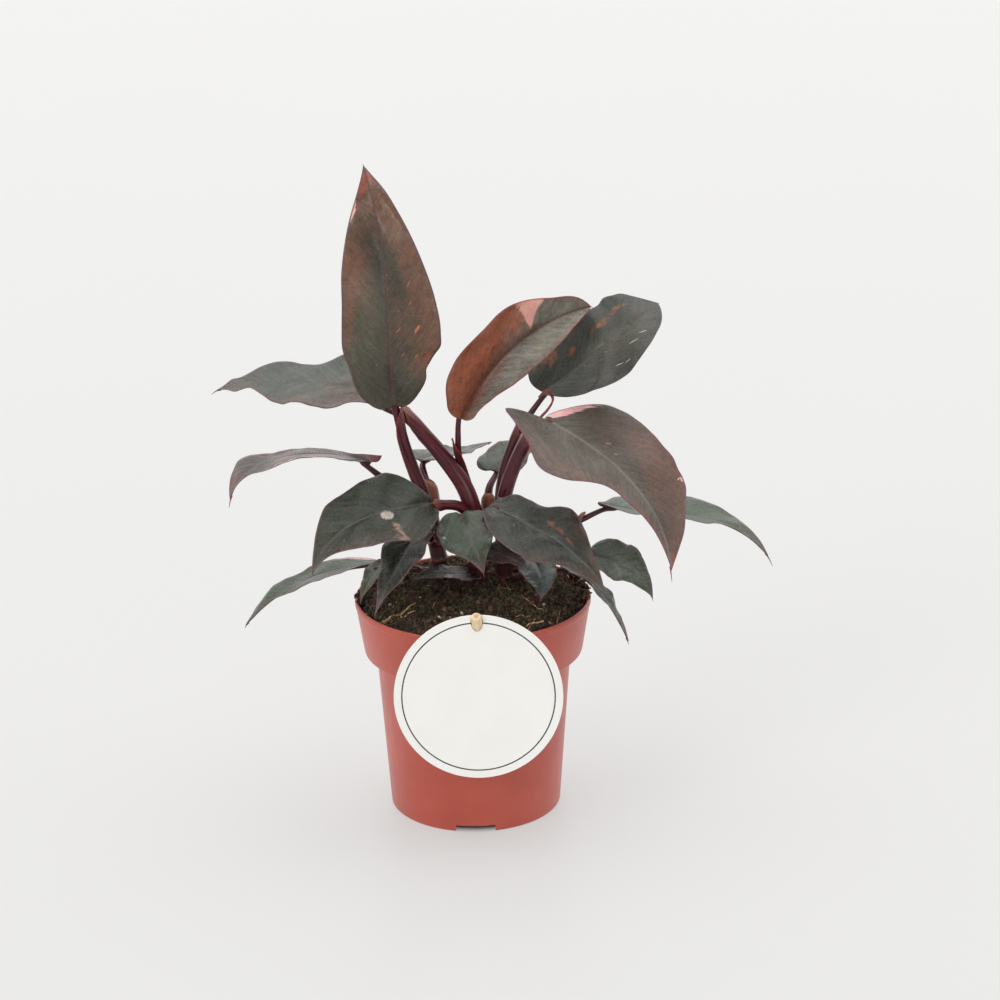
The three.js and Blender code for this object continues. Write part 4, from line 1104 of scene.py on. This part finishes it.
def add_stem(name, stem):
    """A short jointed stem with raised rings where old leaves sat."""
    path = smooth_path(stem["path"], 0.8)
    foot, top = stem["radius"]
    u = np.linspace(0, 1, len(path))
    rings = 0.35 * np.exp(-(((path[:, 2] % 9) - 4.5) / 0.7) ** 2)
    points, faces = rod(path, foot + (top - foot) * u + rings, STEM_SIDES)
    places = ring_places(np.linspace(0, 2 * math.pi, STEM_SIDES, endpoint=False), u)
    body = Parts()
    body.add(points, faces, tone=0.55, ring=places, dry=np.repeat(rings, STEM_SIDES) * 2, lip=0.0)
    body.piece(f"stem_skin_{name}", [STALK], "stalk", [f"stem_{name}"])


def add_strap(name, curve, first, width, dryness, nodes=()):
    """A strap of leaf sheath that has curled over, cupped across its width."""
    path = smooth_path(curve, 0.5)
    sides, ups = frames_along(path, first)
    u = np.linspace(0, 1, len(path))
    s = np.linspace(-1, 1, STRAP_COLUMNS)
    half = width * np.interp(u, [0, 0.3, 0.8, 1], [1, 1, 0.8, 0.2])[:, None]
    layers = []
    for thick in (0.0, STRAP_THICK):
        layers.append(spread(path, sides, ups, 0.5 * s ** 2 * half - thick, s * half))
    body = Parts()
    body.add(np.concatenate(layers), sheet_faces(len(path), STRAP_COLUMNS), tone=0.15,
             ring=np.tile(ring_places(s * 1.2, u), (2, 1)), dry=dryness,
             lip=np.tile(np.abs(s) ** 3, 2 * len(path)))
    body.piece(name, [STALK], "dry_sheath", nodes)


# Pot

SHOULDER = POT["height"] - POT["collar_height"]


def lathe(profile, segments):
    """Mesh of a turned closed profile of radius and height pairs that starts and ends on the axis."""
    points = [(0, 0, profile[0][1])]
    for radius, height in profile[1:-1]:
        points += circle(radius, height, segments)
    points.append((0, 0, profile[-1][1]))
    mesh = bpy.data.meshes.new("turned")
    mesh.from_pydata((np.array(points) * MM).tolist(), [], turned_faces(len(profile) - 2, segments))
    return mesh


def rounded(profile, radius, steps=4):
    """The profile with each inner corner turned into a small arc."""
    points = [np.array(p, float) for p in profile]
    out = [points[0]]
    for before, corner, after in zip(points, points[1:], points[2:]):
        near = min(radius, 0.45 * np.linalg.norm(before - corner))
        far = min(radius, 0.45 * np.linalg.norm(after - corner))
        start = corner + unit(before - corner) * near
        end = corner + unit(after - corner) * far
        for k in np.linspace(0, 1, steps):
            out.append((1 - k) ** 2 * start + 2 * k * (1 - k) * corner + k ** 2 * end)
    return out + [points[-1]]


def cut(piece, cutter):
    modifier = piece.modifiers.new("cut", "BOOLEAN")
    modifier.operation = "DIFFERENCE"
    modifier.object = cutter
    modifier.solver = "EXACT"
    depsgraph = bpy.context.evaluated_depsgraph_get()
    mesh = bpy.data.meshes.new_from_object(piece.evaluated_get(depsgraph))
    piece.modifiers.clear()
    piece.data = mesh
    bpy.data.objects.remove(cutter)


def loose(name, mesh):
    """An object that only serves to cut others."""
    helper = bpy.data.objects.new(name, mesh)
    bpy.context.scene.collection.objects.link(helper)
    bpy.context.view_layer.update()
    return helper


def box_mesh(low, high, matrix):
    mesh = bpy.data.meshes.new("box")
    xs, ys, zs = zip(low, high)
    corners = [Vector((x, y, z)) for x in xs for y in ys for z in zs]
    faces = [(0, 1, 3, 2), (4, 6, 7, 5), (0, 4, 5, 1), (2, 3, 7, 6), (0, 2, 6, 4), (1, 5, 7, 3)]
    mesh.from_pydata([(matrix @ corner) * MM for corner in corners], [], faces)
    return mesh


def drill_mesh(radius, length, segments, matrix):
    """A cylinder that cuts a round hole. The matrix is in metres."""
    mesh = bpy.data.meshes.new("drill")
    tool = bmesh.new()
    bmesh.ops.create_cone(tool, cap_ends=True, segments=segments, radius1=radius * MM, radius2=radius * MM,
                          depth=length * MM, matrix=matrix)
    tool.to_mesh(mesh)
    tool.free()
    return mesh


def pot_profile():
    """The pot's section: up its outer side, over the rim and down inside."""
    lip = POT["height"] - POT["rim_lip"]
    wall = POT["wall"]
    return rounded([
        (0, 0), (POT["base_radius"], 0), (POT["neck_radius"], SHOULDER - POT["neck_height"] - 0.6),
        (POT["collar_radius"], SHOULDER), (POT["rim_radius"] - 0.45, lip - 0.2),
        (POT["rim_radius"], lip + 0.2), (POT["rim_radius"], POT["height"]),
        (POT["rim_radius"] - wall, POT["height"]), (POT["rim_radius"] - wall, lip),
        (POT["collar_radius"] - wall, SHOULDER + 2.5), (POT["neck_radius"] - wall, SHOULDER),
        (POT["base_radius"] - wall, POT["floor"]), (0, POT["floor"]),
    ], 1.0)


def add_pot():
    """The turned pot, with notches round its foot and a drain hole over each."""
    piece = loose("pot_shell", lathe(pot_profile(), POT["segments"]))
    beyond = 10
    below = 5
    through = 30
    for k in range(POT["notches"]):
        turn = Matrix.Rotation(2 * math.pi * k / POT["notches"], 4, "Z")
        low = (-POT["notch_width"] / 2, -POT["base_radius"] - beyond, -below)
        high = (POT["notch_width"] / 2, POT["notch_depth"] - POT["base_radius"], POT["notch_height"])
        cut(piece, loose("notch", box_mesh(low, high, turn)))
        centre = turn @ Vector((0, POT["notch_depth"] / 2 - POT["base_radius"], 0)) * MM
        drill = drill_mesh(POT["drain_radius"], through, 32, Matrix.Translation(centre))
        cut(piece, loose("drain", drill))
    mesh = piece.data
    mesh.materials.clear()
    mesh.materials.append(pot_material())
    bpy.data.objects.remove(piece)
    mesh.polygons.foreach_set("use_smooth", [True] * len(mesh.polygons))
    mesh.set_sharp_from_angle(angle=math.radians(40))
    add_piece("pot_shell", mesh, ["pot"])


def pot_material():
    """Terracotta-coloured moulded plastic: satin, with faint flow marks, fine scuffs and dust."""
    shader = Shader("pot_plastic", Specular_IOR_Level=0.5, IOR=1.49, Coat_Weight=0.3, Coat_Roughness=0.35)
    place = shader.place()
    cloud = shader.noise(shader.scaled(place, (0.02, 0.02, 0.035)), detail=3)
    grain = shader.noise(place, 3.2, detail=2)
    scuff = shader.noise(shader.scaled(place, (0.5, 0.5, 0.06)), detail=5, rough=0.7)
    colour = shader.mix(shader.ramp(cloud, 0.3, 0.7), "b04634", "bc503e")
    colour = shader.mix(shader.ramp(scuff, 0.62, 0.8, 0, 0.35), colour, "c47464")
    colour = shader.mix(shader.ramp(grain, 0.72, 0.8, 0, 0.25), colour, "7a3024")
    height = shader.math("MULTIPLY_ADD", cloud, 1.0, shader.math("MULTIPLY", grain, 0.05))
    return shader.finish(colour, shader.bump(height, 0.3, 0.5), shader.ramp(scuff, 0.3, 0.75, 0.36, 0.5))


# Soil and what lies on it

def soil_height(x, y, reach):
    share = math.hypot(x, y) / reach
    mound = SOIL["edge"] + (SOIL["crown"] - SOIL["edge"]) * (1 - share ** 2)
    bumps = math.sin(0.31 * x + 1.3) * math.cos(0.27 * y) + math.sin(0.17 * x - 0.23 * y)
    return mound + SOIL["bump"] / 2 * bumps


def inner_radius(height):
    """Of the pot's collar at a height."""
    share = (height - SHOULDER) / POT["collar_height"]
    return POT["collar_radius"] + share * (POT["rim_radius"] - POT["collar_radius"]) - POT["wall"]


SOIL_REACH = inner_radius(SOIL["edge"]) - SOIL["play"]
SOIL_RINGS = 120
SOIL_SEGMENTS = 300


def crumble(x, y):
    """Height of the crumbs above the smooth mound."""
    coarse = noise.turbulence(Vector((x * 0.13, y * 0.13, 3)), 3, False, noise_basis="BLENDER")
    fine = noise.turbulence(Vector((x * 0.5, y * 0.5, 7)), 4, True, noise_basis="BLENDER")
    return 1.5 * coarse + 1.3 * fine - 1.6


def ground(x, y):
    """Height of the heaped, crumbled soil; it is highest at the back."""
    return soil_height(x, y, SOIL_REACH) + crumble(x, y) + SOIL["heap"] + SOIL["lean"] * y


def add_soil():
    """The peat as it fills the pot, with a crumbled, heaped top."""
    play = POT["wall"] + SOIL["play"]
    points = [(0, 0, SOIL["bottom"])]
    for radius, height in ((POT["base_radius"], SOIL["bottom"]), (POT["neck_radius"], SHOULDER),
                           (POT["collar_radius"], SHOULDER + 3)):
        points += circle(radius - play, height, SOIL_SEGMENTS)
    for i in range(SOIL_RINGS):
        for x, y, _ in circle(SOIL_REACH * (1 - i / SOIL_RINGS), 0, SOIL_SEGMENTS):
            points.append((x, y, ground(x, y)))
    points.append((0, 0, ground(0, 0)))
    faces = turned_faces(SOIL_RINGS + 3, SOIL_SEGMENTS)
    add_mesh("peat", points, faces, [soil_material()], ["soil"])


def soil_material():
    """Dark, moist peat with browner and mossy patches."""
    shader = Shader("peat_mix", 0.9, Specular_IOR_Level=0.25)
    place = shader.place()
    cloud = shader.noise(place, 0.06, detail=4)
    crumb = shader.noise(place, 0.9, detail=5, rough=0.7)
    moss = shader.noise(place, 0.11, detail=5, rough=0.6)
    colour = shader.mix(shader.ramp(crumb, 0.3, 0.7), "2a211d", "5a4840")
    colour = shader.mix(shader.ramp(cloud, 0.45, 0.65, 0, 0.5), colour, "5c4234")
    colour = shader.mix(shader.ramp(moss, 0.45, 0.6, 0, 0.7), colour, "384030")
    return shader.finish(colour, shader.bump(crumb, 0.8, 1.0))


def litter_material(name, low, high, roughness=0.8):
    """Two colours that change from piece to piece and along each, with fine grain."""
    shader = Shader(name, roughness, Specular_IOR_Level=0.3)
    grain = shader.noise(shader.place(), 2.2, detail=4, rough=0.7)
    tone = shader.stirred(shader.attribute("tone"), (grain, 0.8))
    return shader.finish(shader.mix(shader.ramp(tone, 0, 1), low, high), shader.bump(grain, 0.7, 0.3))


ICO = bmesh.new()
bmesh.ops.create_icosphere(ICO, subdivisions=1, radius=1)
ICO_POINTS = np.array([v.co[:] for v in ICO.verts])
ICO_FACES = [tuple(v.index for v in face.verts) for face in ICO.faces]
ICO.free()


def random_turn(rng):
    return np.array(Matrix.Rotation(rng.uniform(0, 6.28), 3, Vector(unit(rng.normal(size=3)))))


def scattered(rng, reach=1.0):
    """A random place on the soil, clear of the pot wall."""
    radius = SOIL_REACH * reach * math.sqrt(rng.uniform(0, 1))
    angle = rng.uniform(0, 2 * math.pi)
    return radius * math.cos(angle), radius * math.sin(angle)


def pebble(rng, size, narrowest):
    """Points of an uneven, somewhat flat lump with ICO_FACES."""
    shape = ICO_POINTS * (1 + rng.uniform(-0.35, 0.35, (len(ICO_POINTS), 1)))
    return (shape * (1, rng.uniform(narrowest, 1), 0.8)) @ random_turn(rng).T * size


def add_crumbs(name, count, sizes, material, seed):
    """Lumps that lie half sunk in the soil, most of them small."""
    rng = np.random.default_rng(seed)
    body = Parts()
    for _ in range(count):
        x, y = scattered(rng, 0.985)
        size = sizes[0] + (sizes[1] - sizes[0]) * rng.uniform() ** 3
        shape = pebble(rng, size, 0.6)
        body.add(shape + (x, y, ground(x, y) + size * 0.35), ICO_FACES, tone=rng.uniform())
    body.piece(name, [material], "soil", smooth=False)


def add_spill(material):
    """Crumbs that hang over the rim at the right and a little at the left."""
    rng = np.random.default_rng(SEED + 6)
    body = Parts()
    for count, first, last in SPILLS:
        for _ in range(count):
            angle = math.radians(rng.uniform(first, last))
            radius = rng.uniform(56.5, 60.2 - abs(rng.normal()) * 0.8)
            shape = pebble(rng, rng.uniform(0.4, 1.2), 0.5)
            height = POT["height"] + rng.uniform(-0.4, 1.0)
            place = (radius * math.cos(angle), radius * math.sin(angle), height)
            body.add(shape + place, ICO_FACES, tone=rng.uniform())
    body.piece("spill", [material], "soil", smooth=False)


def add_fibre(body, rng, x, y, heading, length, radius, lift, sway=FIBRE_SWAY):
    """A thin bent rod on the soil from x, y. Its far end stands up a little."""
    bend = rng.uniform(-FIBRE_BEND, FIBRE_BEND) * sway / FIBRE_SWAY
    steps = max(5, int(length / 1.2))
    path = []
    for i in range(steps):
        share = i / (steps - 1)
        path.append((x, y, ground(x, y) + 0.4 + lift * length * 0.12 * share ** 2))
        heading += bend + rng.normal() * sway
        x += math.cos(heading) * length / steps
        y += math.sin(heading) * length / steps
        if math.hypot(x, y) > SOIL_REACH * 0.99:
            break
    if len(path) < 4:
        return
    radii = radius * np.interp(np.linspace(0, 1, len(path)), [0, 0.15, 0.8, 1], [0.5, 1, 0.8, 0.3])
    points, faces = rod(path, radii, 5)
    body.add(points, faces, tone=rng.uniform())


def add_fibres(count, lengths, radii, lift):
    """Thin bent roots that lie on the soil and stand up a little at one end."""
    rng = np.random.default_rng(SEED + 3)
    body = Parts()
    for _ in range(count):
        x, y = scattered(rng, 0.97)
        heading = rng.uniform(0, 2 * math.pi)
        add_fibre(body, rng, x, y, heading, rng.uniform(*lengths), rng.uniform(*radii), lift)
    body.piece("fibres", [litter_material("fibre_brown", "4a2a22", "8e5e48")], "soil")


def add_straws():
    """Dry tan straws: two loose bundles in front and a few more around."""
    rng = np.random.default_rng(SEED + 4)
    body = Parts()
    for x, y, heading, length, radius in STRAWS:
        add_fibre(body, rng, x, y, math.radians(heading), length, radius, 0.6, 0.03)
    for _ in range(16):
        x, y = scattered(rng)
        heading = rng.uniform(0, 2 * math.pi)
        add_fibre(body, rng, x, y, heading, rng.uniform(6, 14), rng.uniform(0.15, 0.3), 0.3)
    body.piece("straws", [litter_material("straw_tan", "a07848", "e0c090")], "soil")


def moss_leaf(rng, root):
    """Points of a small pointed leaf: root, both sides, tip and a raised back."""
    lean = unit(np.array([rng.normal() * 0.8, rng.normal() * 0.8, 1]))
    side = unit(np.cross(lean, rng.normal(size=3)))
    height = rng.uniform(0.8, 2.8)
    width = rng.uniform(0.18, 0.38)
    middle = root + lean * height * 0.45
    back = unit(np.cross(lean, side)) * 0.12
    return [root, middle + side * width, root + lean * height, middle - side * width, middle + back]


def add_moss(cushions, leaves):
    """Cushions of small pointed leaves over most of the soil."""
    rng = np.random.default_rng(SEED + 5)
    body = Parts()
    faces = [(0, 1, 4), (1, 2, 4), (2, 3, 4), (3, 0, 4), (0, 3, 2, 1)]
    paler_tip = np.array([0, 0, 0.3, 0, 0])
    for _ in range(cushions):
        x, y = scattered(rng, 0.95)
        tone = rng.uniform() * 0.7
        reach = rng.uniform(0.8, 2.2)
        for _ in range(leaves):
            a = x + rng.normal() * reach
            b = y + rng.normal() * reach
            if math.hypot(a, b) > SOIL_REACH * 0.98:
                continue
            points = moss_leaf(rng, np.array([a, b, ground(a, b) - 0.2]))
            body.add(points, faces, tone=np.clip(tone + rng.normal() * 0.2 + paler_tip, 0, 1))
    body.piece("moss", [litter_material("moss_green", "2c3228", "74744e")], "soil", smooth=False)


# Card and stick

def stick_axis():
    """The stick's direction and its middle."""
    axis = Vector(STICK["axis"]).normalized()
    return axis, Vector(STICK["through"]) + axis * (STICK["ahead"] - STICK["length"] / 2)


def add_card():
    """A round paper card with a thin printed ring near its edge, and the hole for the stick."""
    radius = CARD["radius"]
    half = CARD["thick"] / 2
    ring = CARD["ring"] * radius
    line = CARD["line"]
    bevel = 0.1
    profile = [(0, -half), (radius - bevel, -half), (radius, -half + bevel), (radius, half - bevel),
               (radius - bevel, half), (ring + line, half), (ring - line, half), (0, half)]
    piece = loose("card_face", lathe(profile, CARD["segments"]))
    # The turned card lies flat; it stands up, its printed side to the front
    stand = Matrix.Translation(Vector(CARD["centre"]) * MM)
    stand = stand @ Matrix.Rotation(math.radians(90 - CARD["tilt"]), 4, "X")
    piece.data.transform(stand)
    axis, centre = stick_axis()
    turn = Vector((0, 0, 1)).rotation_difference(axis).to_matrix().to_4x4()
    place = Matrix.Translation(centre * MM) @ turn
    drill = drill_mesh(STICK["radius"] + GAP, STICK["length"] + 2, 40, place)
    cut(piece, loose("hole", drill))
    mesh = piece.data
    bpy.data.objects.remove(piece)
    mesh.materials.clear()
    mesh.materials.append(paper_material("card_paper", "f4f3ef"))
    mesh.materials.append(paper_material("card_ring", "26282c"))
    back = stand.inverted()
    for face in mesh.polygons:
        local = back @ face.center
        distance = math.hypot(local.x, local.y) / MM
        face.material_index = int(abs(distance - ring) < line and local.z > 0.8 * half * MM)
        face.use_smooth = False
    add_piece("card_face", mesh, ["card"])


def paper_material(name, tint):
    shader = Shader(name, 0.55, Specular_IOR_Level=0.35)
    place = shader.place()
    fibre = shader.noise(shader.scaled(place, (2, 2, 2)), detail=5, rough=0.7)
    cloud = shader.noise(place, 0.05, detail=2)
    colour = shader.mix(shader.ramp(cloud, 0.3, 0.7, 0, 0.06), tint, "c8c4ba")
    colour = shader.mix(shader.ramp(fibre, 0.5, 0.8, 0, 0.08), colour, "b0aca4")
    return shader.finish(colour, shader.bump(fibre, 0.25, 0.05))


def add_stick():
    """A wooden stick with rounded ends, grain along it and a darker round pith on the end."""
    axis, centre = stick_axis()
    half = STICK["length"] / 2
    rounding = 1.2
    ends = np.array([0, 0.15, 0.5, rounding])
    offsets = np.concatenate([ends - half, np.linspace(-half + 3, half - 3, 30), half - ends[::-1]])
    path = [centre + axis * v for v in offsets]
    radii = STICK["radius"] - 0.6 * np.clip(1 - (half - np.abs(offsets)) / rounding, 0, 1) ** 2
    points, faces = rod(path, radii, 40, (1, 0, 0))
    add_mesh("stick_wood", points, faces, [wood_material(axis)], ["card_stick"])


def wood_material(axis):
    shader = Shader("stick_grain", 0.6, Specular_IOR_Level=0.35)
    middle = shader.add("VectorMath", 0, {0: shader.place(), 1: STICK["through"]}, operation="SUBTRACT")
    along = shader.add("VectorMath", "Value", {0: middle, 1: axis}, operation="DOT_PRODUCT")
    shift = shader.add("VectorMath", 0, {0: tuple(axis), "Scale": along}, operation="SCALE")
    radial = shader.add("VectorMath", 0, {0: middle, 1: shift}, operation="SUBTRACT")
    distance = shader.add("VectorMath", "Value", {0: radial}, operation="LENGTH")
    shift = shader.scaled(shift, (0.08,) * 3)
    stretched = shader.add("VectorMath", 0, {0: radial, 1: shift}, operation="ADD")
    grain = shader.noise(stretched, 1.6, detail=5, rough=0.65)
    colour = shader.mix(shader.ramp(grain, 0.3, 0.7), "dcbc8c", "f2e2c0")
    end = shader.ramp(along, STICK["ahead"] - 0.25, STICK["ahead"] - 0.05)
    pith = shader.math("MULTIPLY", end, shader.ramp(distance, 1.1, 1.5, 1, 0))
    colour = shader.marked(colour, pith, 0.7, "c09068")
    return shader.finish(colour, shader.bump(grain, 0.5, 0.15))


# Camera, floor and light

def add_camera():
    data = bpy.data.cameras.new("camera")
    data.sensor_width = 36
    data.lens = FOCAL_PIXELS * data.sensor_width / FRAME_PIXELS
    data.clip_start = 0.05
    data.clip_end = 60
    camera = bpy.data.objects.new("camera", data)
    turn = Matrix.Rotation(math.radians(90 - CAMERA_PITCH), 4, "X") @ Matrix.Rotation(
        math.radians(-CAMERA_ROLL), 4, "Z")
    camera.matrix_world = Matrix.Translation(CAMERA_PLACE) @ turn
    bpy.context.scene.collection.objects.link(camera)
    bpy.context.scene.camera = camera


def add_floor():
    """A wide pale floor with painted light: it glows a little, which lightens the shadows on it. It does
    not glow under the pot, a painted shadow there.
    """
    mesh = bpy.data.meshes.new("floor")
    corners = [(FLOOR_REACH * x, FLOOR_REACH * y, 0) for x, y in ((-1, -1), (1, -1), (1, 1), (-1, 1))]
    mesh.from_pydata(corners, [], [(0, 1, 2, 3)])
    floor = bpy.data.objects.new("floor", mesh)
    bpy.context.scene.collection.objects.link(floor)
    shader = Shader("floor_white", 0.4, Specular_IOR_Level=0.12)
    place = shader.place()
    cloud = shader.noise(place, 0.004, detail=2)
    warm = (FLOOR_TONE, FLOOR_TONE, FLOOR_TONE * 0.99, 1)
    pale = (FLOOR_TONE * 1.02,) * 3 + (1,)
    colour = shader.mix(cloud, warm, pale)
    shader.set(shader.surface, "Emission Color", LIGHT_COLOUR)
    # Painted shadow: the glow fades out towards the pot's foot and is gone under it
    flat = shader.add("VectorMath", "Value", {0: shader.scaled(place, (1, 1, 0))}, operation="LENGTH")
    foot = POT["base_radius"]
    shader.set(shader.surface, "Emission Strength", shader.ramp(flat, foot - 7, foot + 1, 0, FLOOR_GLOW))
    mesh.materials.append(shader.finish(colour))


def add_sun(name, place, spread, strength):
    """A far, wide and therefore soft light that shines from place towards the object."""
    data = bpy.data.lights.new(name, "SUN")
    data.angle = math.radians(spread)
    data.energy = strength
    light = bpy.data.objects.new(name, data)
    light.rotation_euler = Vector(place).to_track_quat("Z", "Y").to_euler()
    bpy.context.scene.collection.objects.link(light)


def add_lights():
    """A world that brightens from the front to the back, and the lamps."""
    world = bpy.data.worlds.new("studio")
    bpy.context.scene.world = world
    world.use_nodes = True
    tree = world.node_tree
    background = tree.nodes["Background"]
    coordinate = tree.nodes.new("ShaderNodeTexCoord")
    split = tree.nodes.new("ShaderNodeSeparateXYZ")
    ramp = tree.nodes.new("ShaderNodeMapRange")
    ramp.interpolation_type = "SMOOTHSTEP"
    for key, value in enumerate((*WORLD_TURN, WORLD_FRONT, WORLD_BACK), 1):
        ramp.inputs[key].default_value = value
    tree.links.new(coordinate.outputs["Generated"], split.inputs[0])
    tree.links.new(split.outputs["Y"], ramp.inputs[0])
    tree.links.new(ramp.outputs[0], background.inputs["Strength"])
    background.inputs["Color"].default_value = LIGHT_COLOUR
    for lamp in LIGHTS:
        add_sun(*lamp)
    settings = bpy.context.scene.view_settings
    settings.view_transform = "Standard"
    settings.look = "None"


add_camera()
add_floor()
add_lights()
for number, (leaf_name, leaf_data) in enumerate(LEAVES.items()):
    add_blade(leaf_name, leaf_data, number)
    add_stalk(leaf_name, leaf_data)
for stem_name, stem_data in STEMS.items():
    add_stem(stem_name, stem_data)
add_strap("dry_curl", CURL_PATH, first=(1, 0.2, 0.3), width=1.5, dryness=0.35, nodes=["sheath_curl"])
add_strap("small_curl", SMALL_CURL_PATH, first=(0.3, 1, 0.3), width=1.6, dryness=0.1)
add_pot()
add_soil()
crumb_brown = litter_material("crumb_brown", "2a201d", "6c5648", 0.9)
perlite_white = litter_material("perlite_white", "c8c0b0", "efe8dc")
add_crumbs("crumbs", count=3600, sizes=(0.4, 1.7), material=crumb_brown, seed=SEED + 1)
add_crumbs("perlite", count=36, sizes=(0.5, 1.6), material=perlite_white, seed=SEED + 2)
add_fibres(count=700, lengths=(4, 14), radii=(0.08, 0.22), lift=0.9)
add_straws()
add_spill(crumb_brown)
add_moss(cushions=560, leaves=32)
add_card()
add_stick()
